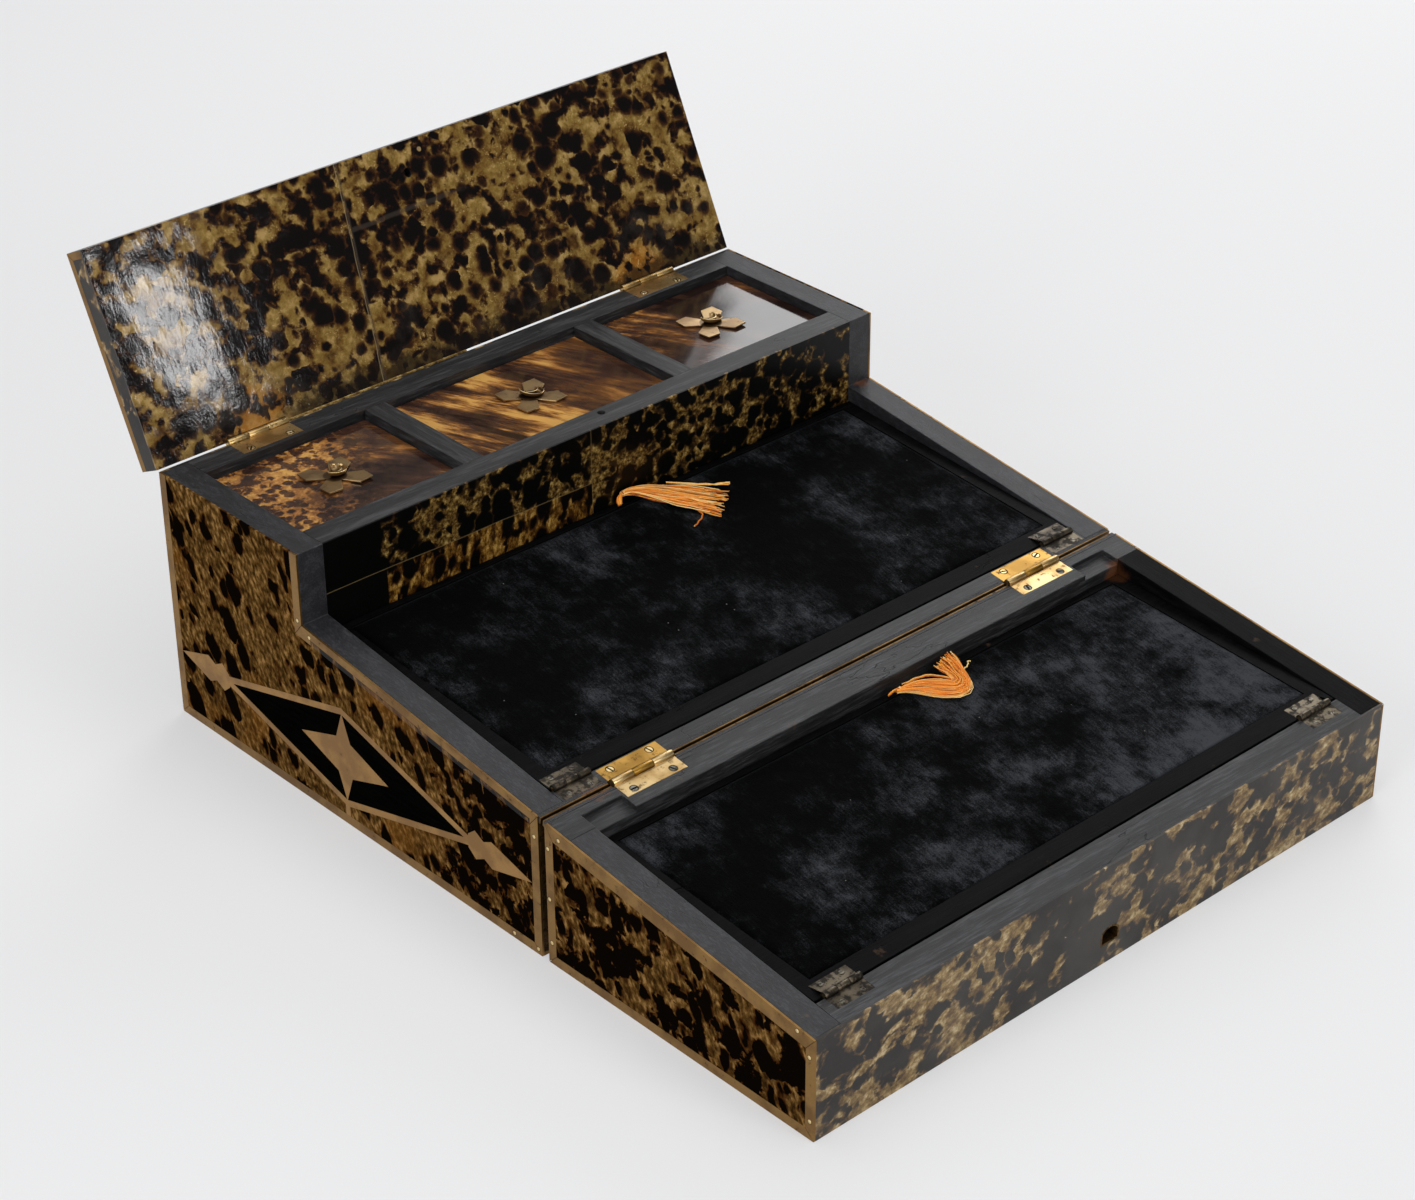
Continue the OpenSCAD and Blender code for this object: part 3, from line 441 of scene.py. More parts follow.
# %% Veneer of the riser
def riser_shell(name, joint_x, seam_z, block_x):
    f = Shell(name)
    here = f.place()
    x, z = f.axis(here, 0), f.axis(here, 2)
    seam = z - seam_z + x * 0.0145 + (f.cloud(here, 0.05) - 0.5) * 0.002
    below = (1 - f.past(seam, 0)) * (1 - f.past(x, joint_x))
    black_end = f.soft(x + f.cloud(here, 0.02) * 0.01, block_x + 0.006, block_x - 0.002)
    other = f.place((0, -8, 0), (1, 1, 0.6), (0.3, 0, 0.2))
    upper = f.clouds(here, 0.0085, 0.6, 0.3, 0.9) - 0.08 + black_end * 0.4
    upper = upper.either(f.spots(here, 0.0124, 0.51, 0.74, 0.4)).either(f.spots(here, 0.0072, 0.45, 0.6, 0.35))
    lower = f.clouds(other, 0.0065, 0.4, 0.3, 0.8) - 0.05
    lower = lower.either(f.spots(other, 0.0088, 0.47, 0.6, 0.5)).either(f.spots(other, 0.005, 0.36, 0.35, 0.4))
    tone = f.cloud(here, 0.0036, 6, 0.75)
    gold = f.ramp(tone, (0.36, "#b3975a"), (0.45, "#7a5f2e"), (0.53, "#4a3315"), (0.6, "#1d1308"))
    tone = f.cloud(other, 0.0038, 6, 0.75)
    amber = f.ramp(tone, (0.36, "#c09a52"), (0.45, "#8a642a"), (0.53, "#583812"), (0.61, "#241507"))
    top = f.bordered(gold, upper, (0.41, 0.5, "#2a1c0e"), (0.47, 0.53, "#050504"))
    low = f.bordered(amber, lower, (0.42, 0.51, "#3a220d"), (0.48, 0.55, "#080605"))
    low = f.mix(1 - f.past(x, block_x), low, "#080706")
    base = f.mix(below, top, low)
    line = f.fade(abs(seam), 0.0001, 0.0004) * f.soft(x, joint_x + 0.0002, joint_x)
    line = line.either(f.fade(abs(x - joint_x), 0.0001, 0.0003))
    base = f.mix(line * 0.45, base, "#8f7a50")
    rough = 0.22 + f.cloud(here, 0.006, 4, 0.6) * 0.2
    return f.coat(base, rough, 0.12, f.polish(here, 0.018, 0.003, 0.35))


# %% [markdown]
# The front of the lid is bleached and dull from handling: its clouds are large and greyed,
# with tan streaks between them, and the polish has a haze. The same recipe, with other
# sizes, serves the upright faces in the fold, which are painted darker as painted shade,
# and the back.


# %% Veneer of the lid's front and of the plain faces
def long_shell(
    name, size, dark, specular, seed=0.0, light="#c0ab86", ground="#94794a", haze=0.1, black_x=FAR_AWAY, pale_end=0.0
):
    """The sheet is black round black_x, and paler at the left end."""
    f = Shell(name)
    here = f.place(shift=(seed, 0, seed))
    stretched = f.place((0, 18, 0), (0.7, 1, 1), (seed, 0, seed))
    clouds = f.clouds(stretched, size, 0.6, 0.45, 0.9) + dark
    clouds = clouds.either(f.spots(here, size, 0.46, 0.55, 0.5))
    black = f.fade(abs(f.axis(f.place(), 0) - black_x), 0.015, 0.045)
    clouds = clouds + black * 0.09 - f.fade(f.axis(f.place(), 0), -0.13, -0.08) * pale_end
    tan = f.ramp(f.cloud(stretched, size * 0.4, 5, 0.66), (0.32, light), (0.46, ground), (0.6, "#5c4425"))
    base = f.bordered(tan, clouds, (0.42, 0.5, "#4a3723"), (0.47, 0.54, "#1d1917"))
    bloom = f.soft(f.cloud(here, 0.05, 3, 0.55), 0.36, 0.7)
    base = f.mix(bloom * haze, base, "#8a8378")
    rough = 0.3 + f.cloud(here, 0.005, 4, 0.6) * 0.2
    return f.coat(base, rough, specular, f.polish(here, 0.03, 0.002, 0.3))


# %% [markdown]
# The inner lids carry the finest shell: clear amber with brown flames that run across the
# sheet, polished like glass. The flames are noise stretched to six times its width and
# bent. On the left lid most of the sheet breaks up into round spots, and on each lid the
# right side is darker.


# %% Veneer of the inner lids
def flame_shell(name, lean, seed, spotty, dark_side, darker=0.0, width=0.0085):
    f = Shell(name)
    here = f.place(shift=(seed, seed, 0))
    along = f.place((0, 0, lean), (0.2, 1, 1), (seed, seed, 0))
    bent = f.warp(f.warp(along, 0.03, 0.016), 0.008, 0.003)
    broad = f.cloud(here, 0.045, 2, 0.5) - 0.5
    side = f.axis(f.place(), 0) - dark_side
    side = f.soft(side - (f.axis(f.place(), 1) - 0.09) * 0.5, -0.02, 0.04)
    flames = (f.cloud(bent, width, 7, 0.68) - 0.5) * 1.35 + 0.5
    flames = flames * (1 - side * 0.6) + side * 0.33 + broad * 0.6 + darker
    spots = f.spots(here, 0.0058, 0.4, 0.7, 0.4).either(f.clouds(here, 0.0065, 0.5, 0.4, 0.8) - 0.05)
    front = (1 - side) * spotty
    mottle = (f.cloud(here, 0.004, 5, 0.65) - 0.5) * 0.35
    value = flames * (1 - front) + (0.44 + f.soft(spots, 0.42, 0.55) * 0.15 + broad * 0.5 + mottle) * front
    base = f.ramp(
        value, (0.36, "#d9a558"), (0.43, "#a8713a"), (0.49, "#674223"), (0.56, "#452d22"), (0.68, "#20120d")
    )
    rough = 0.06 + f.cloud(here, 0.01, 4, 0.6) * 0.06
    return f.coat(base, rough, 0.5, f.polish(here, 0.06, 0.004, 0.05))


# %% [markdown]
# Ebonised wood is close-grained timber stained black. It is never quite black: the grain
# runs along each board as fine grey lines, the polish is satin, and where hands and corners
# rub, the stain wears down to brown. Boards along X and along Y need the grain turned.


# %% Ebonised wood
# Corners and edges, in mm, where the stain has gone.
SORE_PLACES = ((193, 31, 98), (181, -173, 70), (-166, -150, 79))


def ebonised(name, along_x, shades=("#111112", "#202021", "#414143"), worn=0.66, specular=0.4, run=0.08, wear=0.75):
    f = Craft(name)
    here = f.place()
    fibre = f.place((0, 0, 1.5), (run, 1, 1) if along_x else (1, run, 1))
    grain = f.cloud(fibre, 0.0012, 5, 0.65)
    figure = f.cloud(fibre, 0.006, 3, 0.5)
    value = grain * 0.65 + figure * 0.35
    base = f.ramp(value, (0.38, shades[0]), (0.5, shades[1]), (0.62, shades[2]))
    rubbed = f.soft(f.cloud(here, 0.018, 6, 0.62), worn, worn + 0.07)
    base = f.mix(rubbed * 0.55, base, "#4b3a2c")
    sore = f.fade(f.near(SORE_PLACES) + (f.cloud(here, 0.006, 5, 0.7) - 0.5) * 0.016, 0.004, 0.009)
    base = f.mix(sore * wear, base, "#6d3f1d")
    wavy = f.place(scale=(0.3, 1, 1) if along_x else (1, 0.3, 1))
    crack = f.fade(abs(f.cloud(wavy, 0.016, 3, 0.55) - 0.5), 0.0015, 0.005)
    crack = crack * f.soft(f.cloud(here, 0.07, 2), 0.56, 0.62)
    base = f.mix(crack, base, "#050505")
    normal = f.bump(value - crack * 1.5, 0.0005, 0.5)
    return f.coat(base, 0.4 + grain * 0.25, specular, normal)


# %% [markdown]
# The brass is sheet, cut by hand and filed flush with the veneer, so it has slanting file
# marks and has toned down to a pinkish brown. The hinges are brighter where they are
# rubbed, and the small flap hinges have gone almost black. All are metal, and differ only
# in colour, roughness and the amount of tarnish. Small marks are drawn on the same metal:
# the heads of the strip pins, each painted pale as a painted highlight inside a dark ring,
# dark rings round screws, painted shade in the screw slots and low in the buds of the pulls,
# a painted highlight on the rims of the buds, and the wood and shell that cover a strip
# along the slope and in the fold.


# %% Brass
# A hinge pin has its Y and Z in mm, and the lean in degrees of the faces beside it.
SLOPE = 7.5125
FOLD_PIN, PANEL_PIN = (-152.5, 81.0, SLOPE), (151.0, 145.85, 0)
UPPER_PIN, LOWER_PIN = (-139.048, 83.077, SLOPE), (-318.748, 59.380, SLOPE)
HINGE_X, HINGE_SCREW_X = 137, 12.5
# In metres: how wide the slope strips look and are, where along Y they begin and end, and how
# far from the pin the covered tops of the fold strips begin and end.
SLOPE_STRIP_SHOWN, SLOPE_STRIP_W, SLOPE_STRIP_Y = 0.0045, 0.0078, (-0.1443, 0.0249)
FOLD_STRIP_Y, FOLD_STRIP_T = (0.0022, 0.0037), 0.0005
# Heads of the pins in the strips of both sides, in mm.
STRIP_PINS = (
    (0, 35, 106.9), (0, 25.8, 100.9), (0, -138, 76.9), (0, -147, 68.4), (0, -147, 3), (0, -129, 2.8),
    (0, -156.9, 66.5), (0, -156.9, 37.5), (0, -157.5, 12.3), (0, -164.9, 75.1), (0, -325.6, 56.1),
    (0, -333.4, 45.8), (0, -334, 10.3),
)


def below_plane(f, y, z, lean):
    """The depth under a plane through a hinge pin; y and z in mm, lean in degrees."""
    here, angle = f.place(), math.radians(lean)
    up = (f.axis(here, 2) - z * MM) * math.cos(angle)
    return (f.axis(here, 1) - y * MM) * math.sin(angle) - up


def old_brass(
    name, clean, toned, dirt, tarnish, rough_from=0.34,
    holes=(), pins=(), slots=None, cups=(), slope=False, fold=False,
):
    """Sheet brass. holes, pins and cups are places in mm, and slots is the pin under whose
    plane the screw slots get painted shade. slope and fold cover a part of the strips there."""
    f = Shell(name)
    here = f.place()
    strokes = f.cloud(f.place((38, 0, 12), (1, 0.08, 1)), 0.0006, 4, 0.6)
    tone = f.soft(f.cloud(here, 0.016, 4, 0.55), 0.4, 0.62)
    base = f.mix(tone, clean, toned)
    base = f.mix(strokes * 0.35, base, toned)
    spots = f.soft(f.cloud(here, 0.004, 5, 0.65), tarnish, tarnish + 0.1)
    base = f.mix(spots * 0.8, base, dirt)
    normal = f.bump(strokes, 0.00006, 0.5)
    rough = rough_from + strokes * 0.16 + spots * 0.2
    if pins:
        away = f.near(pins, (0, 1, 1))
        # A dark ring round each pin head; the head itself is painted pale as a painted highlight, and bumped into a
        # dome.
        base = f.mix(f.fade(away, 0.0012, 0.0016) * 0.8, base, "#2c1f12")
        dome = f.fade(away, 0.0, 0.0012)
        base = f.mix(f.fade(away, 0.0009, 0.0012), base, "#e9cf94")
        normal = f.bump(dome, 0.0005, 1.0, normal)
    if holes:
        base = f.mix(f.fade(f.near(holes, (1, 1, 0)), 0.0022, 0.0026) * 0.9, base, "#1a1209")
    # Painted shade at the bottom of the screw slots, below the plane of the pin.
    if slots:
        base = f.mix(f.soft(below_plane(f, *slots), 0.00022, 0.0003), base, "#0d0905")
    if cups:
        # Painted shade low inside each bud and over the inner ends of the petals, and a painted highlight along the
        # rim of the bud.
        middle = f.fade(f.near(cups, (1, 1, 0)), 0.0058, 0.0068)
        height = f.axis(here, 2) - cups[0][2] * MM
        base = f.mix(middle * f.fade(height, 0.0012, 0.0034) * 0.72, base, "#2e2215")
        base = f.mix(middle * f.soft(height, 0.0037, 0.0044) * 0.85, base, "#e2c78e")
    metal = 1 - spots * 0.5
    if slope:
        depth = below_plane(f, *FOLD_PIN)
        y = f.axis(here, 1)
        covered = f.past(depth, SLOPE_STRIP_SHOWN + BORDER) * (1 - f.past(depth, SLOPE_STRIP_W))
        covered = covered * f.past(y, SLOPE_STRIP_Y[0]) * (1 - f.past(y, SLOPE_STRIP_Y[1]))
        base = f.mix(covered, base, side_colour(f, 0.0, -0.1, -0.02))
        line = f.fade(depth - SLOPE_STRIP_SHOWN, 2 * BORDER, 6 * BORDER)
        base = f.mix(covered * line * 0.7, base, "#140c05")
        metal = metal * (1 - covered)
    if fold:
        apart = abs(f.axis(here, 1) - FOLD_PIN[0] * MM)
        near, far = FOLD_STRIP_Y
        top = f.soft(apart, near, near + BORDER) * f.fade(apart, far, far + BORDER)
        top = top * (1 - f.past(below_plane(f, *FOLD_PIN), FOLD_STRIP_T))
        base = f.mix(top, base, f.ramp(strokes, (0.35, "#29292a"), (0.65, "#4c4c4e")))
        metal = metal * (1 - top)
    return f.coat(base, rough, 0.1, normal, Metallic=metal)


def ebony_field(name):
    f = Craft(name)
    here = f.place()
    grain = f.cloud(f.place(scale=(1, 0.08, 1)), 0.0012, 4, 0.6)
    dust = f.specks(here, 0.0045, 0.12, 0.25)
    base = f.mix(dust * 0.6, f.ramp(grain, (0.3, "#020202"), (0.7, "#080706")), "#9c8f76")
    return f.coat(base, 0.3 + grain * 0.2, 0.0, f.bump(grain, 0.0001, 0.3))


# %% [markdown]
# The boards and strips keep the shapes that they came with. Their meshes are loose
# triangles with razor edges, so each that is given an edge width gets three modifiers: Weld
# joins the triangles, Decimate clears the lines across flat faces, and Bevel rounds the
# edges by a few tenths of a millimetre, which is what catches the light on real wood and metal.


# %% Dressing the ready-made pieces
WOOD_EDGE, VENEER_EDGE, INNER_LID_EDGE, STRIP_EDGE, LEAF_EDGE, SMALL_LEAF_EDGE = (
    0.0004, 0.0001, 0.0003, 0.00012, 0.0002, 0.00015
)


def dress(names, finish, edge=0):
    for name in names.split():
        piece = NODES[name]
        for slot in piece.material_slots:
            slot.material = finish
        if edge:
            piece.modifiers.new("weld", "WELD").merge_threshold = 0.00001
            clear = piece.modifiers.new("clear", "DECIMATE")
            clear.decimate_type, clear.angle_limit = "DISSOLVE", math.radians(0.5)
            bevel = piece.modifiers.new("bevel", "BEVEL")
            bevel.width, bevel.segments = edge, 2
            bevel.limit_method, bevel.angle_limit = "ANGLE", math.radians(35)
    print(finish.name, "on", len(names.split()), "pieces")


lid_front = long_shell("lid_front_shell", 0.01, -0.035, 0.3, 0.0, "#cdb88f", haze=0.14, black_x=-0.045, pale_end=0.04)
# The faces in the fold get darker tans and more dark clouds: painted shade.
fold_shell_painted_shade = long_shell("fold_shell_painted_shade", 0.011, 0.1, 0.1, 0.6, "#5c4a30", "#3f3120", haze=0.0)
for names, shell, edge in (
    ("left_side_veneer right_side_veneer", side_shell("side_shell", 0.0, -0.1, -0.02), 0),
    ("lid_side_veneers", side_shell("lid_side_shell", 0.37, 0.2, 0.3, -0.03), 0),
    ("panel_inner_veneer", panel_shell("panel_shell", -0.045, 0.12, 0.221), 0),
    ("riser_veneer", riser_shell("riser_shell", -0.008, 0.1142, -0.145), VENEER_EDGE),
    ("lid_front_veneer", lid_front, VENEER_EDGE),
    ("front_veneer lid_rear_veneer", fold_shell_painted_shade, 0),
    ("back_veneer", long_shell("back_shell", 0.011, 0.02, 0.2, 0.6), VENEER_EDGE),
    ("panel_outer_veneer panel_edge_veneers", long_shell("panel_back_shell", 0.012, 0.02, 0.2, 1.3), VENEER_EDGE),
    ("lid_outer_veneer", long_shell("lid_outer_shell", 0.012, 0.02, 0.2, 2.1), VENEER_EDGE),
    ("left_inner_lid", flame_shell("left_lid_shell", 49, 0.0, 1.0, -0.122, 0.03), INNER_LID_EDGE),
    ("middle_inner_lid", flame_shell("middle_lid_shell", 66, 0.47, 0.0, 0.008, -0.03, 0.0115), INNER_LID_EDGE),
    ("right_inner_lid", flame_shell("right_lid_shell", 60, 0.81, 0.3, 0.1, 0.13), INNER_LID_EDGE),
):
    dress(names, shell, edge)

wood_x = ebonised("ebonised_wood_across", True)
wood_y = ebonised("ebonised_wood_along", False)
wood_side = ebonised("ebonised_wood_smooth", False, ("#151517", "#212124", "#343437"), run=0.35)
# Flap boards: ebonised black, painted darker still and nearly matt as painted shade beside the velvet.
flap_wood_painted_shade = ebonised("ebonised_flap_wood_painted_shade", True, ("#040404", "#080809", "#0e0e10"), specular=0.03, wear=0.2)
# The lid's right rail: the same wood painted darker and nearly matt, as painted shade.
lid_rail_wood_painted_shade = ebonised("ebonised_wood_painted_shade", False, ("#050505", "#0a0a0b", "#141415"), specular=0.04, wear=0.3)
for names, wood in (
    (
        "bottom_board back_board front_board riser_board inner_lid_ledges lid_outer_board "
        "lid_rear_rail lid_front_rail panel_board", wood_x,
    ),
    ("upper_flap_board lower_flap_board", flap_wood_painted_shade),
    ("left_side_board right_side_board lid_left_rail", wood_side),
    ("left_divider right_divider upper_flap_ledges lid_flap_ledges", wood_y),
    ("lid_right_rail", lid_rail_wood_painted_shade),
):
    dress(names, wood, WOOD_EDGE)


def screw_holes(y):
    """The places of the screws of a pair of hinges, in mm."""
    return [(side * HINGE_X + out, y, 0) for side in (-1, 1) for out in (-HINGE_SCREW_X, HINGE_SCREW_X)]


strip_tones = ("#93713f", "#76572f", "#3c2a18", 0.6)
strip_brass = old_brass("strip_brass", *strip_tones, pins=STRIP_PINS, fold=True)
base_strip_brass = old_brass("base_strip_brass", *strip_tones, pins=STRIP_PINS, slope=True)
fold_brass = old_brass("fold_brass", "#7c5f38", "#55401f", "#1d150d", 0.48, 0.45, fold=True)
base_leaf = old_brass("hinge_brass", "#c0954a", "#98722f", "#5c411d", 0.58, 0.26, screw_holes(FOLD_PIN[0] + 8.72))
pale_brass = old_brass("pale_brass", "#dcc08c", "#b4925c", "#5d472b", 0.56, 0.24, screw_holes(FOLD_PIN[0] - 8.72))
panel_leaf = old_brass("panel_brass", "#d0b27a", "#a5834c", "#4d3a22", 0.54, 0.24, screw_holes(PANEL_PIN[0] - 11.8))
black_brass = old_brass("blackened_brass", "#6d6353", "#423b31", "#191613", 0.46, 0.3)
for names, brass, edge in (
    ("side_edge_strips", base_strip_brass, STRIP_EDGE),
    ("lid_edge_strips panel_edge_strips", strip_brass, STRIP_EDGE),
    ("front_edge_strips", fold_brass, STRIP_EDGE),
    ("star_inlays", old_brass("inlay_brass", "#a8814b", "#8d693c", "#5a4327", 0.64), VENEER_EDGE),
    ("star_fields", ebony_field("ebony_field"), VENEER_EDGE),
    ("main_hinge_base_leaves", base_leaf, LEAF_EDGE),
    ("main_hinge_lid_leaves", pale_brass, LEAF_EDGE),
    ("panel_hinge_base_leaves panel_hinge_leaves", panel_leaf, LEAF_EDGE),
    ("base_hinge_pins lid_hinge_pins panel_pin", pale_brass, 0),
    ("lid_catch_plate", fold_brass, 0),
    ("upper_flap_hinge_leaves upper_flap_hinge_rail_leaves", black_brass, SMALL_LEAF_EDGE),
    ("lower_flap_hinge_leaves lower_flap_hinge_rail_leaves", black_brass, SMALL_LEAF_EDGE),
):
    dress(names, brass, edge)

# %% [markdown]
# New pieces are drawn in the frame of what they lie on. A flap leans by a few degrees, so
# its velvet, its tassel and its screws are first made flat, with X across the box, Y up the
# flap and Z out of it, and are then placed by one matrix. That matrix is measured on the
# flat top face of a ready-made piece, so the new piece cannot float or sink.


# %% Placing and joining
def lying_on(name):
    """The frame of a flat piece's top face, from the middle of its lower edge, and its size."""
    mesh = NODES[name].data
    top = max((p for p in mesh.polygons if p.normal.z > 0.9), key=lambda p: p.area)
    up = top.normal.copy()
    along = up.cross(Vector((1, 0, 0))).normalized()
    face = [v.co for v in mesh.vertices if abs((v.co - top.center).dot(up)) < 0.00002]
    reach = [v.dot(along) for v in face]
    width = max(v.x for v in face) - min(v.x for v in face)
    origin = along * min(reach) + up * top.center.dot(up)
    turn = Matrix((Vector((1, 0, 0)), along, up)).transposed()
    return Matrix.Translation(origin) @ turn.to_4x4(), width, max(reach) - min(reach)


def finished(name, bm, finish, body, smooth=True):
    bmesh.ops.recalc_face_normals(bm, faces=bm.faces)
    piece = new_piece(name, bm)
    piece.data.materials.append(finish)
    for face in piece.data.polygons:
        face.use_smooth = smooth
    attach(piece, body)
    print(name, "faces:", len(piece.data.polygons))
    return piece


# %% [markdown]
# The velvet is a sheet of cloth, pasted into a shallow recess of each flap. A grid gives it
# enough points to lie unevenly: the pile is crushed by years of letters, so its height
# wanders by a few tenths of a millimetre, and at its cut edges it rolls down onto the board.
# Its colour is the harder part. Velvet is black where one looks into the pile and shows a
# blue-grey sheen where the pile lies over, in cloudy patches with brushed borders. That sheen
# is painted into the base colour as painted sheen, and the cloth is painted lighter towards
# the front right as painted light.


# %% Velvet
def velvet_finish():
    f = Craft("black_velvet")
    here = f.place()
    brushed = f.place((0, 0, 8), (1, 0.85, 1))
    pile_sheen_patch = f.cloud(f.warp(brushed, 0.02, 0.008), 0.014, 9, 0.7)
    broad = f.cloud(here, 0.055, 3, 0.5)
    fibre = f.cloud(f.place((0, 0, 8), (1, 0.12, 1)), 0.0011, 3, 0.6)
    near_fold = f.fade(f.axis(here, 1), -0.26, -0.02)
    # Lighter towards the front right: painted light, added to the lie of the pile.
    right = f.soft(f.axis(here, 0) - f.axis(here, 1), 0.1, 0.45)
    pile = f.cloud(here, 0.0007, 2, 0.6) - 0.5
    lie = pile_sheen_patch * 0.85 + 0.075 + (broad - 0.5) * 0.8 + (fibre - 0.5) * 0.3
    lie = lie + pile * 0.4 + near_fold * 0.03 + right * 0.17
    riser = f.soft(f.axis(here, 1) + (broad - 0.5) * 0.08, -0.02, 0.03) * f.soft(f.axis(here, 0), -0.12, -0.03)
    lie = lie + riser * 0.12
    # The ramp turns a high lie into a blue-grey painted sheen.
    base = f.ramp(lie, (0.46, "#010101"), (0.54, "#060707"), (0.64, "#1b1c1e"), (0.84, "#3f4145"))
    base = f.mix(f.specks(here, 0.011, 0.035, 0.3) * 0.8, base, "#8d8c86")
    sheen = {"Sheen_Weight": 0.02, "Sheen_Roughness": 0.45, "Sheen_Tint": colour("#b8bdc8")}
    return f.coat(base, 0.95, 0.04, f.bump(lie, 0.0012, 0.5), **sheen)


# The gap round the cloth, its depth under the board's face, how far it wanders, and its rim.
RIM_GAP, PILE_SINK, PILE_WANDER, RIM_ROLL, RIM_WIDTH = 0.0004, 0.00035, 0.00022, 0.0007, 0.003


def velvet_sheet(side, finish):
    """The velvet of the upper or the lower flap."""
    node, body, board = side + "_flap_velvet", side + "_flap", side + "_flap_board"
    frame_of, width, length = lying_on(node)
    bm = bmesh.new()
    bmesh.ops.create_grid(bm, x_segments=150, y_segments=70, size=0.5)
    bmesh.ops.scale(bm, vec=(width - 2 * RIM_GAP, length - 2 * RIM_GAP, 1), verts=bm.verts)
    for v in bm.verts:
        rim = min(width / 2 - abs(v.co.x), length / 2 - abs(v.co.y)) - RIM_GAP
        lie = noise.fractal(v.co * 60, 0.7, 2.0, 3) * PILE_WANDER
        v.co.z = lie - PILE_SINK - RIM_ROLL * max(0, 1 - rim / RIM_WIDTH) ** 2
    bmesh.ops.translate(bm, vec=(0, length / 2, 0), verts=bm.verts)
    bmesh.ops.transform(bm, matrix=frame_of, verts=bm.verts)
    piece = finished(side + "_velvet_sheet", bm, finish, body)
    back = piece.modifiers.new("backing", "SOLIDIFY")
    back.thickness, back.offset = 0.0005, -1
    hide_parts(node)
    return frame_of


velvet = velvet_finish()
on_upper = velvet_sheet("upper", velvet)
on_lower = velvet_sheet("lower", velvet)

# %% [markdown]
# The tassels are pull tabs. Each has a small bound head, glued under the free end of its
# flap, and a skirt of cut silk strands. A tassel reads as silk only if its strands are
# separate: each follows the same few guide points, keeps its own place in the bundle's
# cross-section, wanders a little and ends at its own length. A curve with a round bevel
# turns every path into a thread, and the whole bundle then becomes one mesh.


# %% Silk threads
def silk_finish():
    f = Craft("orange_silk")
    here = f.place()
    strand = f.node("NewGeometry", {}, {}, "Random Per Island")
    tone = strand * 0.8 + f.cloud(here, 0.003, 3, 0.6) * 0.2
    base = f.ramp(tone, (0.12, "#7c3204"), (0.28, "#f4860e"), (0.58, "#ffab3a"), (0.86, "#ffdf94"))
    normal = f.bump(f.cloud(here, 0.0004, 2), 0.00005, 0.6)
    return f.coat(base, 0.55, 0.3, normal, Sheen_Weight=0.15, Sheen_Roughness=0.4)


def along_path(points, t):
    """A point on the smooth line through guide points, for t from 0 to 1."""
    place = min(max(t, 0), 0.9999) * (len(points) - 1)
    k = int(place)
    a, b, c, d = (Vector(points[min(max(k + j, 0), len(points) - 1)]) for j in (-1, 0, 1, 2))
    s = place - k
    return 0.5 * (2 * b + (c - a) * s + (2 * a - 5 * b + 4 * c - d) * s**2 + (3 * b - a - 3 * c + d) * s**3)


SKIRT, THREAD_STEPS = 96, 18
# One source of chance for threads, glue and slots, so that every run makes the same box.
dice = random.Random(7)


def bundle(guides, count, thread, ends):
    """Threads through guides of (x, y, height, half width, half depth), all in mm."""
    threads = []
    points = [g[:3] for g in guides]
    for k in range(count):
        across, level = dice.uniform(-1, 1), dice.uniform(-1, 1)
        level *= math.sqrt(1 - across * across * 0.8)
        phase, wander = dice.uniform(0, 6.3), dice.uniform(0.1, 1.3)
        if count == SKIRT and k % 5 == 0:
            wander *= 2.2
        end = 1 - dice.uniform(0, ends)
        path = []
        for step in range(THREAD_STEPS + 1):
            t = end * step / THREAD_STEPS
            middle = along_path(points, t)
            ahead = along_path(points, t + 0.02) - along_path(points, t - 0.02)
            side = Vector((-ahead.y, ahead.x, 0)).normalized()
            half = along_path([(g[3], g[4], 0) for g in guides], t)
            kink = math.sin(phase * 3 + t * 23) * 0.4 * t
            point = middle + side * (across * half.x + math.sin(phase + t * 9) * wander * t + kink)
            point.z += level * half.y + math.cos(phase + t * 7) * wander * 0.4 * t
            point.z = max(point.z, thread + 0.05)
            path.append(point)
        threads.append((path, thread))
    return threads


def spun(name, threads, place, finish, body, node):
    """One mesh of round threads, from paths in mm in the frame of a flap."""
    data = bpy.data.curves.new(name + "_paths", "CURVE")
    data.dimensions, data.use_fill_caps = "3D", True
    data.bevel_depth, data.bevel_resolution = MM, 1
    for path, radius in threads:
        spline = data.splines.new("POLY")
        spline.points.add(len(path) - 1)
        for point, at in zip(spline.points, path):
            point.co = (*(place @ (at * MM)), 1)
            point.radius = radius
    maker = bpy.data.objects.new(name + "_paths", data)
    bpy.context.scene.collection.objects.link(maker)
    bpy.context.view_layer.update()
    shape = maker.evaluated_get(bpy.context.evaluated_depsgraph_get())
    bm = bmesh.new()
    bm.from_mesh(shape.to_mesh())
    bpy.data.objects.remove(maker)
    piece = finished(name, bm, finish, body)
    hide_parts(node)


HEAD_THREADS, HEAD_STEPS, WINDINGS, WINDING_STEPS = 14, 8, 9, 12


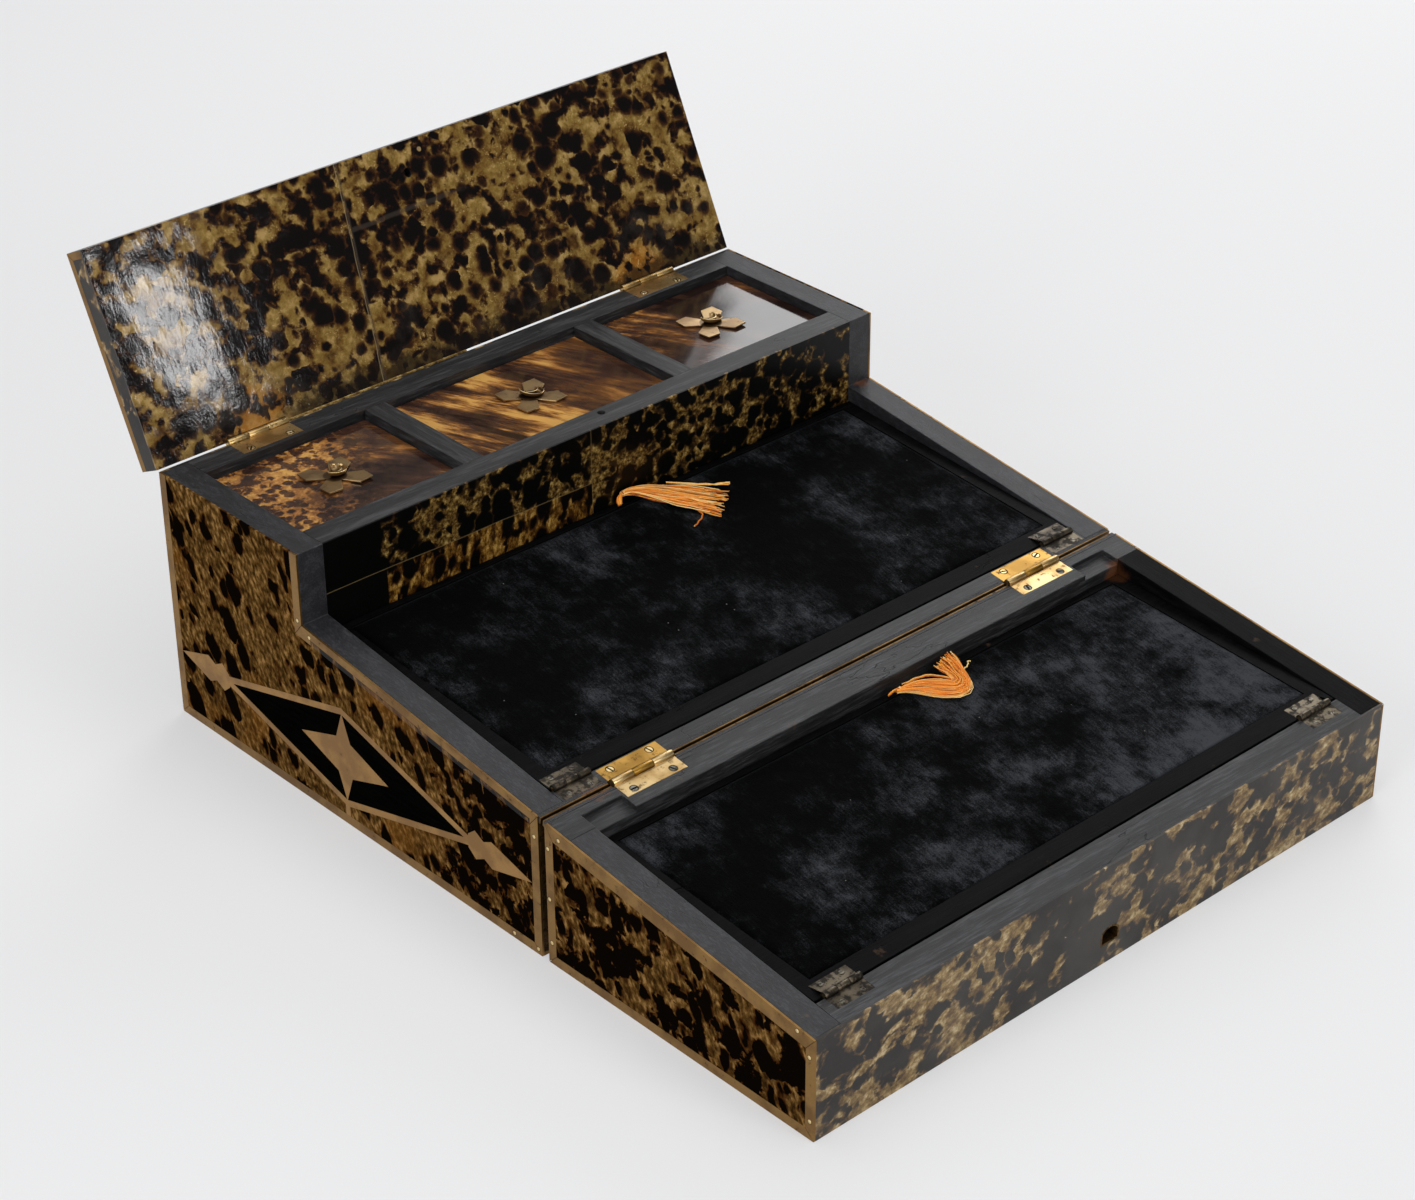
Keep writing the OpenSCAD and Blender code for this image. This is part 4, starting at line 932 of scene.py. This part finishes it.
def head(points, radius):
    """A bound head: threads laid side by side along a short path, with a winding round it."""
    threads = []
    for k in range(HEAD_THREADS):
        angle = 2 * math.pi * k / HEAD_THREADS
        round_it = Vector((math.cos(angle) * 0.75, -math.sin(angle) * 0.5, math.sin(angle) * 0.8))
        path = []
        for step in range(HEAD_STEPS + 1):
            t = step / HEAD_STEPS
            swell = radius * (0.55 + 0.45 * math.sin(math.pi * min(1, t * 1.15)))
            path.append(along_path(points, t) + round_it * swell)
        threads.append((path, 0.36))
    neck, r = along_path(points, 0.97), radius * 0.702
    for k in range(WINDINGS):
        angles = [2 * math.pi * step / WINDING_STEPS for step in range(WINDING_STEPS + 1)]
        threads.append(([neck + Vector((k * 0.22, r * math.cos(a), r * math.sin(a))) for a in angles], 0.22))
    return threads


# %% The two tassels
silk = silk_finish()
# Guides are measured from the flap's lower edge, and the velvet starts this far above it.
VELVET_EDGE = Vector((0, 12.5, 0))
upper_threads = bundle(
    [(9.5, 169.5, 4.6, 1.2, 1.1), (14, 168.5, 5.2, 1.8, 1.5), (21, 165.5, 4.3, 4.3, 1.9),
     (31, 157.5, 2.9, 7.6, 1.7), (41, 146.5, 2.1, 10.5, 1.4), (52, 131.5, 1.3, 12.8, 0.9)], SKIRT, 0.23, 0.16,
)
upper_threads += head([(5.6, 165.2, 1.9), (6.3, 167, 3.4), (8.2, 168.8, 4.6), (10.4, 169.4, 4.9)], 1.9)
upper_threads += bundle(
    [(35.5, 135.5, 1.2, 0, 0), (34.8, 132, 1, 0, 0), (30, 128.5, 0.9, 0, 0), (24, 126.3, 0.8, 0, 0)], 1, 0.42, 0
)
upper_threads += bundle(
    [(38, 165, 3.6, 0.4, 0.2), (50, 155, 3, 0.5, 0.2), (60, 148, 2, 0.3, 0.2), (67.5, 145.8, 1.8, 0.5, 0.2)],
    3, 0.36, 0.05,
)
lower_threads = bundle(
    [(10.5, 141.3, 2.6, 1.2, 1), (15, 139.5, 2.9, 2.4, 1.4), (22, 136, 2.9, 5.4, 1.6),
     (30, 129.5, 2.4, 7.6, 1.5), (37, 124.2, 2.2, 6.4, 1.4), (42.6, 126.4, 2.7, 4.2, 1.5),
     (45.2, 133, 3.1, 4.6, 1.3), (46, 139.5, 4, 6.6, 1.1), (45, 144.4, 5.9, 8.4, 0.8)], SKIRT, 0.22, 0.16,
)
lower_threads += head([(6.6, 142.3, 1.6), (8.2, 142.4, 2.5), (10, 142.2, 2.8), (11.8, 141.4, 2.7)], 1.8)
lower_threads += bundle(
    [(40, 131, 3, 0.6, 0.2), (34.3, 141, 2, 0.8, 0.2), (27, 144.3, 1.3, 0.8, 0.2), (18.5, 144.4, 0.8, 1.1, 0.1)],
    3, 0.36, 0.08,
)
lower_threads += bundle([(50.5, 133.5, 2.2, 0, 0), (55, 135.5, 1.8, 0, 0), (60, 137.8, 1.2, 0, 0)], 1, 0.36, 0)
for side, threads, place in (("upper", upper_threads, on_upper), ("lower", lower_threads, on_lower)):
    threads = [([p - VELVET_EDGE for p in path], r) for path, r in threads]
    spun(side + "_silk_tassel", threads, place, silk, side + "_flap", side + "_tassel")

# %% [markdown]
# The pulls are flowers cut from sheet brass: four flat kite-shaped petals in a cross, and
# two leaves that are curled up into a hollow bud for the fingers. Each petal starts as one
# five-sided face. Extruding gives its thickness, a small bevel its filed edge, and raising
# its point a little lifts it off the lid, as cut petals stand. Each leaf of the bud is a
# bent line spun round a leaning axis, which makes an open cup of rolled sheet.


# %% Petals
PETAL_R, PETAL_W, PETAL_ROOT, PETAL_SHOULDER = 0.0198, 0.0123, 0.0056, 0.72
PETAL_LOW, PETAL_LIFT, PETAL_T = 0.0004, 0.0007, 0.0008


def add_slab(bm, points, thick, soft):
    """A flat piece from an outline, with its upper edge rounded. Returns its points."""
    face = bm.faces.new([bm.verts.new(p) for p in points])
    raised = bmesh.ops.extrude_face_region(bm, geom=[face])["geom"]
    top = [g for g in raised if isinstance(g, bmesh.types.BMVert)]
    bmesh.ops.translate(bm, vec=(0, 0, thick), verts=top)
    rim = {e for v in top for e in v.link_edges if all(w in top for w in e.verts)}
    made = set(top) | set(face.verts)
    cut = bmesh.ops.bevel(bm, geom=list(rim), offset=soft, segments=2, profile=0.5, affect="EDGES", material=-1)
    return list({v for v in made if v.is_valid} | set(cut["verts"]))


def add_petal(bm, angle):
    """A kite of sheet metal from the middle outwards, turned about the pull's axis."""
    shoulder, w, root = PETAL_R * PETAL_SHOULDER, PETAL_W / 2, PETAL_ROOT / 2
    outline = [(0, -root), (shoulder, -w), (PETAL_R, 0), (shoulder, w), (0, root)]
    made = add_slab(bm, [(x, y, PETAL_LOW + PETAL_LIFT * x / PETAL_R) for x, y in outline], PETAL_T, 0.00012)
    bmesh.ops.rotate(bm, matrix=Matrix.Rotation(angle, 3, "Z"), verts=made)


# %% The curled bud
BUD_AT, BUD_FOOT, BUD_LEAN = (0.0018, 0.0022), 0.001, -7


def add_bud(bm, turn, lean, open_by, size):
    """Rolled sheet: a bent line spun about a leaning axis, then given its thickness."""
    wall = [(r * size, z) for r, z in ((0.0016, 0), (0.0038, 0.0004), (0.0052, 0.0014), (0.0058, 0.0031))]
    start = [bm.verts.new((r, 0, z)) for r, z in wall]
    edges = [bm.edges.new(pair) for pair in zip(start, start[1:])]
    bmesh.ops.spin(
        bm, geom=start + edges, cent=(0, 0, 0), axis=(0, 0, 1), angle=math.radians(open_by), steps=18, use_merge=False
    )
    verts, grown = set(start), True
    while grown:
        linked = {w for v in verts for e in v.link_edges for w in e.verts}
        grown = not linked <= verts
        verts |= linked
    faces = {f for v in verts for f in v.link_faces}
    sheet = bmesh.ops.solidify(bm, geom=list(faces), thickness=0.00045)
    verts |= {g for g in sheet["geom"] if isinstance(g, bmesh.types.BMVert)}
    place = Matrix.Translation((*BUD_AT, BUD_FOOT)) @ Matrix.Rotation(turn, 4, "Z") @ Matrix.Rotation(lean, 4, "Y")
    place = place @ Matrix.Diagonal((1, 0.8, 1, 1))
    bmesh.ops.transform(bm, matrix=place, verts=list(verts))


def flower_pull(name, body, finish, turn, open_by):
    low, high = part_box(name)
    middle = ((low[0] + high[0]) / 2, (low[1] + high[1]) / 2, low[2])
    bm = bmesh.new()
    for k in range(4):
        add_petal(bm, math.radians(45 + 90 * k))
    bmesh.ops.create_cone(
        bm, cap_ends=True, segments=20, radius1=0.0034, radius2=0.0026, depth=0.0012,
        matrix=Matrix.Translation((0, 0, 0.0006)),
    )
    for size, ahead in ((1.15, 0.0), (0.68, 0.9)):
        lean = math.radians(BUD_LEAN) * size
        add_bud(bm, math.radians(turn) + ahead, lean, open_by - 50 * ahead, size)
    bmesh.ops.translate(bm, vec=middle, verts=bm.verts)
    piece = finished(name + "_flower", bm, finish, body, smooth=False)
    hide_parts(name)
    top = max(v.co.z for v in piece.data.vertices)
    print(name, "height", round((top - low[2]) / MM, 2), "mm, solid", round((high[2] - low[2]) / MM, 2))


PULLS = (("left", 200, 250), ("middle", 140, 235), ("right", 170, 240))
boxes = [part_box(side + "_pull") for side, _, _ in PULLS]
cups = [((low[0] + high[0]) / 2 / MM, (low[1] + high[1]) / 2 / MM, low[2] / MM) for low, high in boxes]
pull_brass = old_brass("pull_brass", "#b99d70", "#94795a", "#4a3a28", 0.6, 0.28, cups=cups)
for side, turn, open_by in PULLS:
    flower_pull(side + "_pull", side + "_lid", pull_brass, turn, open_by)

# %% [markdown]
# Two small things close the joints between the large pieces. Old glue stands in a ragged
# bead along the lower edge of the open panel. In the fold, wooden edges with brass lips
# before them reach from both sides, so that only a thin line stays open between base and
# lid. They are left out where the hinges are. All are flat pieces with a rounded edge.


# %% Old glue and the edges of the fold
# The stretches beside and between the main hinges, in mm.
FOLD_RUNS = ((-199.2, -157), (-117, 117), (157, 199.2))
BEAD_LOW, BEAD_HIGH, BEAD_STEPS = (-117, 150.5, 145.25), (4, 151.7, 146.3), 40


def pin_frame(y, z, lean):
    """The frame of a hinge pin, with Y along the faces beside it."""
    return Matrix.Translation((0, y * MM, z * MM)) @ Matrix.Rotation(math.radians(lean), 4, "X")


def old_glue():
    f = Craft("old_glue")
    lumps = f.cloud(f.place(), 0.003, 4, 0.65)
    base = f.ramp(lumps, (0.35, "#3c2b12"), (0.5, "#8c6d34"), (0.65, "#c6aa6c"))
    return f.coat(base, 0.3 + lumps * 0.2, 0.5, f.bump(lumps, 0.0003, 0.5))


def bead(name, low, high, finish, body):
    """A ragged bead along an edge, between two corners in mm."""
    bm = bmesh.new()
    outline = [(low[0] + (high[0] - low[0]) * k / BEAD_STEPS, low[1]) for k in range(BEAD_STEPS + 1)]
    outline += [(x, high[1] - dice.uniform(0, 0.08)) for x, _ in reversed(outline)]
    add_slab(bm, [(x * MM, y * MM, low[2] * MM) for x, y in outline], (high[2] - low[2]) * MM, 0.00005)
    finished(name, bm, finish, body, smooth=False)


def fold_lips(name, out, level, finish, body):
    """Long edges along a face in the fold; out and level are (from, to) in mm from the pin."""
    bm = bmesh.new()
    for x0, x1 in FOLD_RUNS:
        corners = [(x0, out[0]), (x1, out[0]), (x1, out[1]), (x0, out[1])]
        add_slab(bm, [(x * MM, y * MM, level[0] * MM) for x, y in corners], (level[1] - level[0]) * MM, 0.0002)
    bmesh.ops.transform(bm, matrix=pin_frame(*FOLD_PIN), verts=bm.verts)
    finished(name, bm, finish, body, smooth=False)


bead("panel_glue_bead", BEAD_LOW, BEAD_HIGH, old_glue(), "rear_panel")
lip_brass = old_brass("lip_brass", "#866840", "#5e4627", "#2a1d11", 0.57, 0.34)
for side, body in ((1, "base"), (-1, "writing_lid")):
    wood, brass = sorted((side * 1.7, side * 2.65)), sorted((side * 0.85, side * 1.75))
    fold_lips(body + "_fold_edges", wood, (-3.6, -0.17), wood_x, body)
    fold_lips(body + "_fold_lips", brass, (-3.6, -0.2), lip_brass, body)

# %% [markdown]
# The hinges are held by slotted screws. A slotted head is two half discs that stand on a
# whole one: the gap between them is the slot. The heads sit in the countersinks of the
# leaves with their tops just under the line where the two leaves meet, so that the lid can
# still close. Screws driven by hand never line up, so each slot has its own angle.


# %% Screws
HEAD_RISE, SLOT_ANGLE = 0.0006, 0.24


def add_screw(bm, place, radius, slot):
    made = []
    for side in (0, math.pi):
        arc = [side + SLOT_ANGLE + (math.pi - 2 * SLOT_ANGLE) * k / 14 for k in range(15)]
        outline = [(radius * math.cos(a), radius * math.sin(a), 0) for a in arc]
        made += add_slab(bm, outline, HEAD_RISE, HEAD_RISE * 0.3)
    disc = bmesh.ops.create_cone(
        bm, cap_ends=True, segments=28, radius1=radius * 0.98, radius2=radius * 0.98, depth=HEAD_RISE * 0.5,
        matrix=Matrix.Translation((0, 0, HEAD_RISE * 0.2)),
    )
    made += disc["verts"]
    bmesh.ops.transform(bm, matrix=place @ Matrix.Rotation(slot, 4, "Z"), verts=list(set(made)))


def hinge_screws(name, body, pin, middles, out, level, apart, radius, finish):
    """Two screws in each of two mirrored leaves; all lengths in mm from the hinge pin."""
    bm = bmesh.new()
    for x in (-middles - apart, -middles + apart, middles - apart, middles + apart):
        at = pin_frame(*pin) @ Matrix.Translation((x * MM, out * MM, level * MM - HEAD_RISE))
        add_screw(bm, at, radius * MM, dice.uniform(0, math.pi))
    finished(name + "_screws", bm, finish, body, smooth=False)


# The slots of these screw heads carry painted shade.
screw_brass = old_brass("screw_brass", "#f2dca6", "#c9a866", "#6b5230", 0.62, 0.24, slots=FOLD_PIN)
panel_screw_brass = old_brass("panel_screw_brass", "#e9d3a0", "#b3945c", "#5a4529", 0.6, 0.24, slots=PANEL_PIN)
screw_steel = old_brass("screw_steel", "#8d8a80", "#625f56", "#37332c", 0.52, 0.3, slots=FOLD_PIN)
black_steel = old_brass("blackened_steel", "#8f897c", "#57524a", "#24211d", 0.5, 0.3)
# Half the distance between two screws of a leaf, and the radius of a head.
large, small = (HINGE_SCREW_X, 1.86), (6.5, 1.36)
for name, body, pin, middles, out, level, size, finish in (
    ("main_base", "base", FOLD_PIN, HINGE_X, 8.8, -0.06, large, screw_brass),
    ("main_lid", "writing_lid", FOLD_PIN, HINGE_X, -8.8, -0.12, large, screw_steel),
    ("panel_base", "base", PANEL_PIN, HINGE_X, -11.8, -0.06, large, panel_screw_brass),
    ("upper_rail", "base", UPPER_PIN, 170.1, -6.9, -0.4, small, black_steel),
    ("upper_flap", "upper_flap", UPPER_PIN, 170.1, 6.9, -0.4, small, black_steel),
    ("lower_rail", "writing_lid", LOWER_PIN, 165.9, -6.9, -0.4, small, black_steel),
    ("lower_flap", "lower_flap", LOWER_PIN, 165.9, 6.9, -0.4, small, black_steel),
):
    hinge_screws(name, body, pin, middles, out, level, *size, finish)
